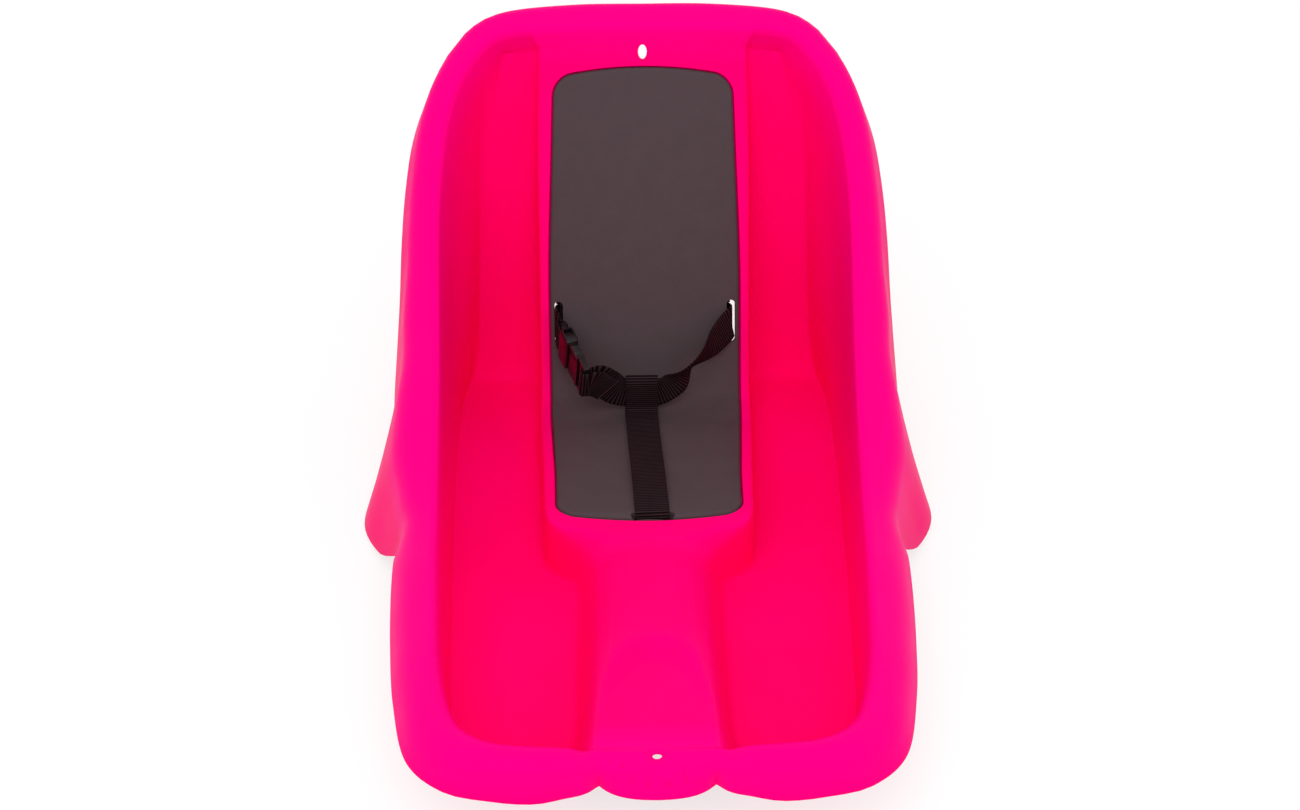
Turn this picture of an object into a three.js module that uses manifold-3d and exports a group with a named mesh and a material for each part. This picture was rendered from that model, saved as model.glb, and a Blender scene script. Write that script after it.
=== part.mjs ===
// Baby pull sled: a moulded single-wall body with a foam seat pad and a buckled lap harness.
// Millimetres, +Z up. The front of the sled faces -Y, its back rises at +Y.
// The origin is the middle of the footprint, on the ground.
import * as THREE from 'three';
import { mergeVertices } from 'three/addons/utils/BufferGeometryUtils.js';
import Module from 'manifold-3d';

const wasm = await Module();
wasm.setup();

// Moulded body
const bodyLength = 730;
const bodyWidth = 510;
const bodyHeight = 353;
const wall = 3;
const fit = 0.3;
const weld = 0.002;
const halfLength = bodyLength / 2;
const halfWidth = bodyWidth / 2;

// Foot wells: a level floor that turns up into the channels beside the back
const floorHeight = wall;
const flatness = 0.001;
const channelFootShare = 0.69863;
const channelLeanShare = 0.2137;
const channelFoot = channelFootShare * halfLength;
const channelLean = (channelLeanShare * halfLength) / bodyHeight;
const channelBend = 18;

// Console between the legs, with a lower landing in front of an arched step
const archApexShare = -0.60685;
const archRunShare = 0.11507;
const archHalfShare = 0.16863;
const archApex = archApexShare * halfLength;
const archRun = archRunShare * halfLength;
const archHalf = archHalfShare * halfWidth;
const archRamp = 24;
const archDrop = 11;
const consoleShoulder = 14;

// Seat box and its pad recess
const recessDepth = 8;
const recessGap = 1.5;
const boxRun = 28;
const recessFrontShare = -0.11644;
const recessBackShare = 0.84521;
const recessFront = recessFrontShare * halfLength;
const recessBack = recessBackShare * halfLength;
const guideDraft = 2.4;

// Rim, skirt and front scallops
const baseRound = 10;
const frontRound = 20;
const channelRound = 45;
const rimRound = 9;
const lobeRound = 16;
const shoulderRound = 15;
const ridgeRound = 5;
const consoleRound = 11;
const scallopPlace = 44;
const scallopDepth = 17;
const scallopFade = 0.3;
const scallopWidth = 15;

// Holes in the body
const slotWidth = 8;
const slotPlaceShare = 0.31569;
const slotPlace = slotPlaceShare * halfWidth;
const slotHeightShare = 0.28329;
const slotHeight = slotHeightShare * bodyHeight;
const cutDepth = 40;
const hangHole = 14;
const hangHoleWidth = 8;
const hangHoleShare = 0.90935;
const ropeHole = 7;
const ropeHoleShare = -0.90685;

// Seat pad
const padThickness = 7.7;
const padProud = 2;
const padGap = 1;
const padCorner = 16;
const padArch = 9;
const padBow = 11;
const padEdge = 3.6;
const cornerShares = [0, 0.08, 0.3, 0.62, 1];

// Webbing, the slots it passes through and its anchors
const webbingWidth = 30;
const webbing = 1.6;
const seamLength = 5;
const crotchPlace = 2.5;
const crotchInset = 5;
const crotchSlotEnds = 8;
const crotchSlotLength = webbingWidth + crotchSlotEnds;
const crotchSlotWidth = 7;
const slotEndsRoom = 10;
const slotLength = webbingWidth + slotEndsRoom;
const anchorRadius = 3.5;
const anchorEnds = 20;
const anchorLength = webbingWidth + anchorEnds;
const leftAcross = -2.7;
const rightAcross = 0.1;

// Where the harness lies above the seat: its places are shares of half the width and half
// the length, each with a lift, and those beside the plug are measured from its outer bar
const slotLift = 2;
const buckleLead = 15;
const ladderShares = [-0.21765, 0.34795];
const ladderLift = 44.77;
const leadPlaces = [[19.2, 11.8, -8.8], [29.2, 15.1, -20.8]];
const tailPlaces = [[20.2, 7.8, -13.8], [11.2, 4.4, -5.8]];
const beltShares = [[-0.0196, 0.3904], [0.0353, 0.3918], [0.0941, 0.4]];
const beltLifts = [19.8, 20.3, 26.5];
const twistShares = [0.1686, 0.4192];
const twistLift = 43.6;
const twistAcross = [0.12, -0.62, 0.78];
const climbShares = [0.251, 0.4822];
const climbLift = 36.1;
const loopReach = 4;
const loopLift = 40.2;
const loopPlace = -4;
const loopFootShare = 0.3425;
const strapRise = 5;
const strapMiddle = 55;

// Side-release buckle
const buckleMargin = 8;
const buckleWidth = webbingWidth + buckleMargin;
const buckleThickness = 12;
const yokeThickness = 5;
const yokeBar = 3.5;
const yokeSlot = 4.5;
const socketLength = 28;
const socketWall = 2;
const windowLength = 8;
const mouthGap = 0.6;
const bodyReach = 16.4;
const plugBodyWidth = 20;
const plugThickness = 7;
const headLength = 4;
const ladderSlot = 4.6;
const ladderBar = 3;
const tongueWidth = 7;
const tongueLength = 16;
const prongWidth = 4;
const prongBow = 1.6;
const prongLength = 33;
const prongBarb = 2.4;
const barbLength = 8;
const prongGrip = 13;

// Stations of the body's edge, from the middle of the front to the middle of the back, as
// shares of half the width, half the length and the height: the floor's edge (x, y), the
// inner edge of the rim (x, y, z), the lower edge of the skirt (x, y, z), and how far the
// rim's band reaches towards the skirt and how much it falls or rises on its way.
const edgeShares = [
  [0.000, -0.855, 0.000, -0.901, 0.221, 0.000, -0.975, 0.156, 0.62, -0.015],
  [0.180, -0.855, 0.180, -0.904, 0.231, 0.176, -0.989, 0.167, 0.62, -0.015],
  [0.271, -0.775, 0.267, -0.910, 0.253, 0.267, -0.989, 0.172, 0.64, -0.015],
  [0.369, -0.770, 0.369, -0.910, 0.261, 0.365, -0.997, 0.173, 0.66, -0.015],
  [0.478, -0.760, 0.486, -0.899, 0.263, 0.486, -0.989, 0.176, 0.68, -0.015],
  [0.565, -0.735, 0.580, -0.852, 0.263, 0.626, -0.962, 0.178, 0.70, -0.015],
  [0.612, -0.690, 0.631, -0.751, 0.263, 0.741, -0.879, 0.181, 0.72, -0.017],
  [0.635, -0.612, 0.659, -0.630, 0.266, 0.795, -0.718, 0.185, 0.74, -0.020],
  [0.651, -0.466, 0.675, -0.477, 0.269, 0.822, -0.548, 0.185, 0.74, -0.023],
  [0.659, -0.301, 0.686, -0.351, 0.275, 0.838, -0.384, 0.187, 0.74, -0.025],
  [0.667, -0.197, 0.690, -0.285, 0.278, 0.842, -0.268, 0.190, 0.74, -0.028],
  [0.671, -0.104, 0.694, -0.214, 0.286, 0.852, -0.164, 0.116, 0.70, -0.025],
  [0.675, 0.000, 0.698, -0.132, 0.303, 0.928, -0.062, 0.035, 0.56, -0.023],
  [0.682, 0.137, 0.702, -0.022, 0.338, 0.993, 0.050, 0.025, 0.52, -0.023],
  [0.686, 0.285, 0.706, 0.099, 0.388, 0.974, 0.170, 0.040, 0.54, -0.023],
  [0.686, 0.427, 0.710, 0.208, 0.448, 0.916, 0.268, 0.110, 0.62, -0.023],
  [0.678, 0.562, 0.714, 0.312, 0.519, 0.897, 0.356, 0.246, 0.68, -0.023],
  [0.643, 0.658, 0.718, 0.411, 0.595, 0.875, 0.447, 0.416, 0.68, -0.020],
  [0.596, 0.723, 0.718, 0.504, 0.671, 0.864, 0.534, 0.547, 0.68, -0.015],
  [0.573, 0.784, 0.710, 0.597, 0.747, 0.850, 0.630, 0.649, 0.66, -0.008],
  [0.557, 0.830, 0.690, 0.685, 0.822, 0.823, 0.729, 0.739, 0.66, 0.002],
  [0.533, 0.866, 0.647, 0.764, 0.890, 0.767, 0.833, 0.807, 0.64, 0.013],
  [0.494, 0.888, 0.576, 0.830, 0.940, 0.667, 0.926, 0.858, 0.64, 0.028],
  [0.455, 0.896, 0.478, 0.860, 0.966, 0.520, 0.975, 0.887, 0.64, 0.039],
  [0.235, 0.882, 0.243, 0.871, 0.975, 0.253, 0.997, 0.898, 0.64, 0.043],
  [0.000, 0.871, 0.000, 0.874, 0.975, 0.000, 1.000, 0.900, 0.64, 0.043],
];
// Half the pad's width along it: places as shares of half the length, widths of half the width
const padShares = [
  [-0.135, 0.313],
  [0.05, 0.319],
  [0.25, 0.333],
  [0.43, 0.345],
  [0.58, 0.346],
  [0.78, 0.328],
  [0.87, 0.318],
];

const frontTurnShare = 0.5;
const backTurnShare = 0.48;
const frontCorner = edgeShares.findIndex((share) => share[0] > frontTurnShare);
const backCorner = edgeShares.findLastIndex((share) => share[0] > backTurnShare);
const frontWallShare = 0.72;
const innerShare = 0.45;
const endShare = 0.85;

// Stations of the console and the seat box from front to back: the place and height of the
// top, half its width at the top and at the floor (shares as above), where the foot of its
// side wall lies along the sled, and the edge station that lies beside it.
const ridgeShares = [
  [-0.855, 0.252, 0.196, 0.271, -0.775, 5],
  [-0.795, 0.253, 0.192, 0.258, -0.728, 5.6],
  [-0.707, 0.253, 0.184, 0.246, -0.657, 6.4],
  [-0.608, 0.251, 0.180, 0.242, -0.572, 7.2],
  [-0.493, 0.233, 0.176, 0.243, -0.465, 8],
  [-0.362, 0.207, 0.176, 0.245, -0.338, 8.9],
  [-0.263, 0.185, 0.178, 0.245, -0.240, 9.7],
  [-0.214, 0.173, 0.186, 0.248, -0.190, 10.2],
  [-0.189, 0.172, 0.208, 0.258, -0.164, 10.5],
  [-0.164, 0.177, 0.254, 0.288, -0.146, 10.8],
  [-0.140, 0.181, 0.306, 0.326, -0.127, 11.1],
  [-0.110, 0.181, 0.340, 0.352, -0.096, 11.5],
  [-0.066, 0.176, 0.353, 0.364, -0.044, 11.9],
  [0.016, 0.163, 0.359, 0.372, 0.055, 12.5],
  [0.164, 0.141, 0.369, 0.383, 0.203, 13.5],
  [0.285, 0.122, 0.378, 0.392, 0.340, 14.5],
  [0.367, 0.110, 0.383, 0.397, 0.460, 15.4],
  [0.433, 0.117, 0.384, 0.400, 0.564, 16.1],
  [0.482, 0.161, 0.384, 0.400, 0.652, 16.9],
  [0.532, 0.252, 0.384, 0.400, 0.701, 17.6],
  [0.619, 0.425, 0.384, 0.400, 0.748, 18.5],
  [0.707, 0.598, 0.384, 0.400, 0.795, 19.4],
  [0.789, 0.759, 0.380, 0.396, 0.838, 20.4],
  [0.838, 0.857, 0.376, 0.388, 0.871, 21.2],
  [0.860, 0.923, 0.373, 0.380, 0.890, 22],
];
const wellWallShare = 0.1;
const channelWallShare = 0.28;
const boxInnerShare = 0.8;
const boxSideShare = 0.9;
const consoleTopShare = 0.45;
const consoleSideShare = 0.75;
const consoleSideFallShare = 0.3;

const vec = (x, y, z) => new THREE.Vector3(x, y, z);
const mix = THREE.MathUtils.lerp;
const smooth = (value) => THREE.MathUtils.smoothstep(value, 0, 1);

// A smooth value between the rows of a table at a station that need not be whole
function along(table, station) {
  const last = table.length - 1;
  const index = Math.min(Math.floor(station), last - 1);
  const t = station - index;
  const row = (step) => table[Math.min(Math.max(index + step, 0), last)];
  return row(0).map((b, column) => {
    const a = row(-1)[column];
    const c = row(1)[column];
    const d = row(2)[column];
    const cubic = 3 * (b - c) + d - a;
    const square = 2 * a - 5 * b + 4 * c - d;
    return b + 0.5 * t * (c - a + t * (square + t * cubic));
  });
}

// A smooth value between table rows that are spaced by their first column, with no overshoot
function between(table, place) {
  const last = table.length - 1;
  let index = 0;
  while (index < last - 1 && place > table[index + 1][0]) index += 1;
  const step = (row) => table[row + 1][0] - table[row][0];
  const rise = (row, column) => (table[row + 1][column] - table[row][column]) / step(row);
  const lean = (row, column) => {
    if (row === 0) return rise(0, column);
    if (row === last) return rise(last - 1, column);
    const before = rise(row - 1, column);
    const after = rise(row, column);
    return before * after <= 0 ? 0 : (2 * before * after) / (before + after);
  };
  const t = (place - table[index][0]) / step(index);
  return table[index].map((value, column) => {
    if (column === 0) return place;
    const next = table[index + 1][column];
    const out = lean(index, column) * step(index);
    const into = lean(index + 1, column) * step(index);
    const turn = t * t * (3 - 2 * t);
    return mix(value, next, turn) + t * (1 - t) * ((1 - t) * out - t * into);
  });
}

// A path of straight legs whose inner corners are rounded, with the same count of points
// whatever its sizes
function roundedPath(corners, setbacks, legSteps, cornerSteps) {
  const last = corners.length - 1;
  const leg = (index) => corners[index + 1].clone().sub(corners[index]);
  const back = (index) => {
    const before = leg(index - 1).length() * (index === 1 ? endShare : innerShare);
    const after = leg(index).length() * (index === last - 1 ? endShare : innerShare);
    return Math.min(setbacks[index - 1], before, after);
  };
  const leave = (index) => {
    const reach = index > 0 ? back(index) : 0;
    return corners[index].clone().addScaledVector(leg(index).normalize(), reach);
  };
  const arrive = (index) => {
    const reach = index < last ? back(index) : 0;
    return corners[index].clone().addScaledVector(leg(index - 1).normalize(), -reach);
  };
  const points = [corners[0].clone()];
  for (let index = 1; index <= last; index += 1) {
    const from = leave(index - 1);
    const to = arrive(index);
    for (let step = 1; step < legSteps[index - 1]; step += 1) {
      points.push(from.clone().lerp(to, step / legSteps[index - 1]));
    }
    points.push(to);
    if (index < last) {
      const curve = new THREE.QuadraticBezierCurve3(to, corners[index], leave(index));
      for (let step = 1; step <= cornerSteps[index - 1]; step += 1) {
        points.push(curve.getPoint(step / cornerSteps[index - 1]));
      }
    }
  }
  return points;
}

// Height of the well floor, turning up into the channel beside the back
function floorLevel(y) {
  const past = y - channelFoot;
  if (past > channelBend) return floorHeight + past / channelLean;
  return floorHeight + Math.max(past + channelBend, 0) ** 2 / (4 * channelBend * channelLean);
}

// How far a place on the console is past the arched step, from 0 behind it to 1 in front
function archShare(x, y) {
  const bend = (2 * archRun * x) / archHalf ** 2;
  const inside = (archApex - y - archRun * (x / archHalf) ** 2) / Math.hypot(1, bend);
  return smooth(inside / archRamp + 0.5);
}

// Height of the console and seat, and the direction square to them
const seatHeight = (y) => between(ridgeShares, y / halfLength)[1] * bodyHeight;
const seatNormal = (y) => vec(0, seatHeight(y - fit) - seatHeight(y + fit), 2 * fit).normalize();

// One row of the console and seat box with the floor beside it, from the centre line out
function ridgeRow(y) {
  const [, height, top, base, foot, station] = between(ridgeShares, y / halfLength);
  const z = height * bodyHeight;
  const topHalf = top * halfWidth;
  const footY = foot * halfLength;
  const box = smooth((y - recessFront + boxRun) / boxRun);
  const drop = seatNormal(y).multiplyScalar(-padProud * box);
  const edge = along(edgeShares, station);
  const floorEdge = vec(edge[0] * halfWidth, edge[1] * halfLength, 0);
  floorEdge.z = floorLevel(floorEdge.y);
  const inner = mix(consoleTopShare, boxInnerShare, box) * topHalf;
  const side = mix(consoleSideShare, boxSideShare, box) * topHalf;
  const shoulder = consoleShoulder * (1 - box);
  const corners = [
    vec(0, y, z).add(drop),
    vec(inner, y, z).add(drop),
    vec(side, y, z - shoulder * consoleSideFallShare).add(drop),
    vec(topHalf, y, z - shoulder).add(drop),
    vec(base * halfWidth, footY, floorLevel(footY)),
    floorEdge,
  ];
  const setbacks = [guideDraft, guideDraft, mix(consoleRound, ridgeRound, box), baseRound];
  const points = roundedPath(corners, setbacks, [2, 2, 1, 1, 2], [1, 1, 1, 1]);
  for (const point of points) {
    const above = Math.max(archDrop - (z - point.z), 0);
    point.z -= above * archShare(point.x, point.y);
  }
  return { points, station };
}

// The rim and skirt outside one point of the floor's edge
function rimSection(start, station) {
  const share = along(edgeShares, station);
  const inner = vec(share[2] * halfWidth, share[3] * halfLength, share[4] * bodyHeight);
  const skirt = vec(share[5] * halfWidth, share[6] * halfLength, share[7] * bodyHeight);
  const band = inner.clone().lerp(skirt, share[8]);
  band.z = inner.z + share[9] * bodyHeight;
  const front = station < frontCorner + 3;
  const notch = front ? scallopDepth * Math.exp(-Math.abs(skirt.x - scallopPlace) / scallopWidth) : 0;
  skirt.y += notch;
  band.y += notch * scallopFade;
  const sideways = smooth((station - frontCorner) / 3);
  const toWell = smooth(station - 1);
  const toChannel = smooth((station - frontCorner) / (backCorner - frontCorner));
  const sideShare = mix(wellWallShare, channelWallShare, toChannel);
  const foot = start.clone().lerp(inner, mix(frontWallShare, sideShare, toWell));
  foot.z = start.z;
  foot.y = mix(foot.y, start.y, sideways);
  const back = smooth((station - backCorner + 2) / 2);
  foot.lerp(start.clone().lerp(inner, consoleSideFallShare), back);
  const floorRound = mix(frontRound, baseRound, sideways);
  const innerRound = mix(lobeRound, rimRound, sideways);
  const setbacks = [mix(floorRound, channelRound, toChannel), innerRound, shoulderRound];
  return roundedPath([start, foot, inner, band, skirt], setbacks, [1, 1, 1, 2], [2, 2, 2]);
}

// The edge station that lies at a distance from the centre line
function stationAt(x, from, to) {
  const step = Math.sign(to - from);
  for (let index = from; index !== to; index += step) {
    const near = edgeShares[index][0] * halfWidth;
    const far = edgeShares[index + step][0] * halfWidth;
    if (x <= far) return index + step * ((x - near) / (far - near));
  }
  return to;
}

// Even steps from one place to another, without the last
function stretch(from, to, count) {
  return Array.from({ length: count }, (_, step) => mix(from, to, step / count));
}

// Rows along the sled, closer together where the shape turns
function rowPlaces() {
  const first = ridgeShares[0][0] * halfLength;
  const last = ridgeShares.at(-1)[0] * halfLength;
  const boxFront = recessFront - boxRun;
  const seatBend = ridgeShares[15][0] * halfLength;
  const backFoot = ridgeShares[19][0] * halfLength;
  return [
    ...stretch(first, archApex - archRamp, 7),
    ...stretch(archApex - archRamp, archApex + archRamp, 5),
    ...stretch(archApex + archRamp, boxFront, 5),
    ...stretch(boxFront, recessFront, 5),
    ...stretch(recessFront, seatBend, 5),
    ...stretch(seatBend, backFoot, 6),
    ...stretch(backFoot, recessBack, 8),
    recessBack,
    last,
  ];
}

// Mirrors a row of points that starts on the centre line
function bothSides(points) {
  const left = points.slice(1).reverse().map((point) => vec(-point.x, point.y, point.z));
  return [...left, ...points];
}

// Top surface of the moulding: an inner patch of rows, and rings from the floor out to the skirt
function bodySurface() {
  const rows = rowPlaces().map(ridgeRow);
  const count = rows.length;
  const half = rows[0].points.length - 1;
  const baseColumn = half - 2;
  const nearest = stationAt(rows[0].points[baseColumn].x, 0, frontCorner);
  for (let column = baseColumn; column <= half; column += 1) {
    const station = mix(nearest, frontCorner, (column - baseColumn) / (half - baseColumn));
    const share = along(edgeShares, station);
    rows[0].points[column].set(share[0] * halfWidth, share[1] * halfLength, floorHeight);
  }
  const patch = rows.map((row) => bothSides(row.points));
  const width = 2 * half + 1;
  const vertices = patch.flat();
  const faces = [];
  const quad = (a, b, c, d) => faces.push([a, b, c], [a, c, d]);
  for (let row = 0; row < count - 1; row += 1) {
    for (let column = 0; column < width - 1; column += 1) {
      const corner = row * width + column;
      quad(corner, corner + 1, corner + 1 + width, corner + width);
    }
  }

  const around = [];
  const visit = (row, column) => {
    const point = patch[row][column];
    const x = Math.abs(point.x);
    let station = rows[row].station;
    if (row === 0) station = stationAt(x, 0, frontCorner);
    if (row === count - 1) station = stationAt(x, edgeShares.length - 1, backCorner);
    around.push({ index: row * width + column, point, station });
  };
  for (let column = 0; column < width - 1; column += 1) visit(0, column);
  for (let row = 0; row < count - 1; row += 1) visit(row, width - 1);
  for (let column = width - 1; column > 0; column -= 1) visit(count - 1, column);
  for (let row = count - 1; row > 0; row -= 1) visit(row, 0);

  let ring = around.map((entry) => entry.index);
  const sections = around.map(({ point, station }) => {
    const start = vec(Math.abs(point.x), point.y, point.z);
    const side = point.x < 0 ? -1 : 1;
    return rimSection(start, station).map((place) => vec(side * place.x, place.y, place.z));
  });
  for (let level = 1; level < sections[0].length; level += 1) {
    const next = sections.map((section) => vertices.push(section[level]) - 1);
    for (let place = 0; place < ring.length; place += 1) {
      const after = (place + 1) % ring.length;
      quad(ring[place], next[place], next[after], ring[after]);
    }
    ring = next;
  }
  return { vertices, faces, ring };
}

// Closes a surface into a wall of even thickness below it
function thicken({ vertices, faces, ring }, thickness) {
  const normals = vertices.map(() => vec(0, 0, 0));
  for (const [a, b, c] of faces) {
    const side = vertices[b].clone().sub(vertices[a]);
    const cross = side.cross(vertices[c].clone().sub(vertices[a]));
    for (const corner of [a, b, c]) normals[corner].add(cross);
  }
  const under = vertices.map((point, index) => {
    const below = point.clone().addScaledVector(normals[index].normalize(), -thickness);
    if (point.z < floorHeight + flatness) below.z = point.z - thickness;
    return below;
  });
  const shift = vertices.length;
  const below = faces.map(([a, b, c]) => [a + shift, c + shift, b + shift]);
  const edge = ring.flatMap((corner, place) => {
    const next = ring[(place + 1) % ring.length];
    return [[corner, corner + shift, next + shift], [corner, next + shift, next]];
  });
  return meshFrom([...vertices, ...under], [...faces, ...below, ...edge]);
}

// Geometry from points and triangles
function meshFrom(points, faces) {
  const geometry = new THREE.BufferGeometry();
  const flat = points.flatMap((point) => [point.x, point.y, point.z]);
  geometry.setAttribute('position', new THREE.Float32BufferAttribute(flat, 3));
  geometry.setIndex(faces.flat());
  return geometry;
}

// Geometry from rings of points, each joined to the next, with both ends closed
function loft(rings) {
  const count = rings[0].length;
  const faces = [];
  rings.slice(1).forEach((_, level) => {
    for (let place = 0; place < count; place += 1) {
      const a = level * count + place;
      const b = level * count + ((place + 1) % count);
      faces.push([a, b, b + count], [a, b + count, a + count]);
    }
  });
  const end = (rings.length - 1) * count;
  for (let place = 1; place < count - 1; place += 1) {
    faces.push([0, place + 1, place], [end, end + place, end + place + 1]);
  }
  return meshFrom(rings.flat(), faces);
}

function toSolid(geometry) {
  const bare = geometry.clone();
  bare.deleteAttribute('normal');
  bare.deleteAttribute('uv');
  const merged = mergeVertices(bare);
  return new wasm.Manifold(new wasm.Mesh({
    numProp: 3,
    vertProperties: new Float32Array(merged.attributes.position.array),
    triVerts: new Uint32Array(merged.index.array),
  }));
}

function fromSolid(solid) {
  const mesh = solid.getMesh();
  const geometry = new THREE.BufferGeometry();
  geometry.setAttribute('position', new THREE.BufferAttribute(mesh.vertProperties, 3));
  geometry.setIndex(new THREE.BufferAttribute(mesh.triVerts, 1));
  return geometry;
}

// Cuts tools from a shape, and joins others to it
function cut(geometry, tools, joined = []) {
  let solid = toSolid(geometry);
  for (const tool of joined) solid = solid.add(toSolid(tool));
  for (const tool of tools) solid = solid.subtract(toSolid(tool));
  return fromSolid(solid.simplify(weld));
}

// The seat's surface in the middle plane, by distance back from the pad recess's front end
const seatLine = new THREE.CatmullRomCurve3(
  stretch(recessFront, recessBack, 60).concat(recessBack).map((y) => vec(0, y, seatHeight(y))),
);
seatLine.arcLengthDivisions = 600;
const seatRun = seatLine.getLength();

// A point on the seat: x across, s along it from the front, lift above it
function onSeat(x, s, lift) {
  const share = Math.min(Math.max(s / seatRun, 0), 1);
  const tangent = seatLine.getTangentAt(share);
  const point = seatLine.getPointAt(share).addScaledVector(tangent, s - share * seatRun);
  return vec(x, point.y - tangent.z * lift, point.z + tangent.y * lift);
}

// The distance along the seat at which it reaches a place along an axis
function seatDistance(axis, place) {
  let low = 0;
  let high = seatRun;
  while (high - low > fit / 100) {
    const middle = (low + high) / 2;
    if (onSeat(0, middle, 0)[axis] < place) low = middle;
    else high = middle;
  }
  return low;
}

// A frame whose Y runs up the seat and whose Z stands off it, at a distance along the seat
function seatFrame(x, s) {
  const tangent = seatLine.getTangentAt(s / seatRun);
  const basis = new THREE.Matrix4().makeBasis(vec(1, 0, 0), tangent, vec(0, -tangent.z, tangent.y));
  return basis.setPosition(onSeat(x, s, 0));
}

// A slot with round ends that runs through a wall: width along X, length along Y, depth along Z
function slotCutter(width, length, depth) {
  const outline = new THREE.Shape();
  const radius = width / 2;
  const straight = length / 2 - radius;
  outline.absarc(0, straight, radius, 0, Math.PI);
  outline.absarc(0, -straight, radius, Math.PI, 2 * Math.PI);
  const cutter = new THREE.ExtrudeGeometry(outline, { depth, bevelEnabled: false, curveSegments: 5 });
  return cutter.translate(0, 0, -depth / 2);
}

const slotEnds = [-recessDepth, recessDepth].map((shift) => seatDistance('z', slotHeight + shift));
const beltSlot = (slotEnds[0] + slotEnds[1]) / 2;
const beltFrames = [-slotPlace, slotPlace].map((x) => seatFrame(x, beltSlot));
const crotchFrame = seatFrame(crotchPlace, crotchInset);

function bodyCutters() {
  const belt = beltFrames.map((frame) => slotCutter(slotWidth, slotLength, cutDepth).applyMatrix4(frame));
  const crotch = slotCutter(crotchSlotWidth, crotchSlotLength, cutDepth)
    .rotateZ(Math.PI / 2)
    .applyMatrix4(crotchFrame);
  const hang = slotCutter(hangHoleWidth, hangHole, cutDepth)
    .rotateX(Math.PI / 2)
    .translate(0, ridgeShares.at(-1)[0] * halfLength, hangHoleShare * bodyHeight);
  const rope = slotCutter(ropeHole, ropeHole + fit, 2 * cutDepth)
    .translate(0, ropeHoleShare * halfLength, edgeShares[0][4] * bodyHeight);
  return { belt, crotch, hang, rope };
}

// A sheet on the seat with the pad's outline, grown all round, between two lifts
function padForm(grow, upper, lower, edge) {
  const columns = 12;
  const corner = padCorner + grow;
  const start = padGap - grow;
  const end = seatRun - start;
  const inner = rowPlaces().map((y) => seatDistance('y', y))
    .filter((s) => s > start + corner && s < end - corner - padArch);
  const places = [
    ...cornerShares.map((share) => start + share * corner),
    ...inner,
    ...cornerShares.map((share) => end - share * corner).reverse(),
  ];
  const spot = (s, column, lift, inset) => {
    const wide = between(padShares, onSeat(0, s, 0).y / halfLength)[1] * halfWidth + grow;
    const round = Math.max(corner - Math.min(s - start, end - s), 0);
    const half = wide - corner + Math.sqrt(Math.max(corner ** 2 - round ** 2, 0));
    const x = ((2 * column) / columns - 1) * (half - inset);
    const bow = padBow * smooth(1 - (3 * s) / seatRun);
    const arch = padArch * smooth((2 * s) / seatRun - 1);
    const fromFront = Math.max(1 - (s - start) / corner, 0);
    const fromBack = Math.max(1 - (end - s) / corner, 0);
    const shift = inset * (fromFront - fromBack) + (bow - arch) * (x / wide) ** 2;
    return onSeat(x, s + shift, lift);
  };
  const middle = (upper + lower) / 2;
  return loft(places.map((s) => {
    const top = Array.from({ length: columns + 1 }, (_, column) => spot(s, column, upper, edge));
    const under = top.map((_, column) => spot(s, column, lower, edge)).reverse();
    return [...top, spot(s, columns, middle, 0), ...under, spot(s, 0, middle, 0)];
  }));
}

// The moulding, with the pad's recess let down through its wall into a tray
function shellGeometry() {
  const { belt, crotch, hang, rope } = bodyCutters();
  const tray = padForm(recessGap + wall, -padProud - wall / 2, -recessDepth - wall, 0);
  const recess = padForm(recessGap, recessDepth, -recessDepth, 0);
  return cut(thicken(bodySurface(), wall), [recess, ...belt, crotch, hang, rope], [tray]);
}

// The foam pad, its edges eased to half its thickness
function padGeometry() {
  const { belt, crotch } = bodyCutters();
  const upper = padThickness - recessDepth + fit;
  return cut(padForm(0, upper, upper - padThickness, padEdge), [...belt, crotch]);
}

// Webbing along a path, its width turning smoothly through the directions given at its points
function ribbon(path, widths, steps) {
  const line = new THREE.CatmullRomCurve3(path, false, 'centripetal');
  const turn = new THREE.CatmullRomCurve3(widths, false, 'centripetal');
  const rings = [];
  for (let step = 0; step <= steps; step += 1) {
    const share = line.getUtoTmapping(step / steps);
    const point = line.getPoint(share);
    const tangent = line.getTangent(share);
    const across = turn.getPoint(share).normalize();
    across.addScaledVector(tangent, -across.dot(tangent)).normalize().multiplyScalar(webbingWidth / 2);
    const normal = tangent.clone().cross(across).normalize().multiplyScalar(webbing / 2);
    rings.push([
      point.clone().add(across).add(normal),
      point.clone().sub(across).add(normal),
      point.clone().sub(across).sub(normal),
      point.clone().add(across).sub(normal),
    ]);
  }
  return loft(rings);
}

// A box from one corner to the other
function block(from, to) {
  const size = to.clone().sub(from);
  const middle = from.clone().add(to).multiplyScalar(0.5);
  return new THREE.BoxGeometry(size.x, size.y, size.z).translate(middle.x, middle.y, middle.z);
}

// Anchors stand behind the slots, each in the webbing's sewn end, in frames like the slots'
const foldRadius = anchorRadius + fit + webbing / 2;
const anchorLift = -(recessDepth + wall + 2 * fit + foldRadius + webbing / 2);

function anchorGeometry() {
  return new THREE.CylinderGeometry(anchorRadius, anchorRadius, anchorLength, 16);
}

// The sewn end round an anchor, its middle at the frame's centre, along Y
function sewnEnd() {
  const outline = new THREE.Shape();
  const hole = new THREE.Path();
  outline.absarc(0, 0, foldRadius + webbing / 2, 0, 2 * Math.PI);
  hole.absarc(0, 0, foldRadius - webbing / 2, 0, 2 * Math.PI, true);
  outline.holes.push(hole);
  const ring = new THREE.ExtrudeGeometry(outline, {
    depth: webbingWidth, bevelEnabled: false, curveSegments: 16,
  });
  return ring.translate(0, 0, -webbingWidth / 2).rotateX(Math.PI / 2);
}

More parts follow.
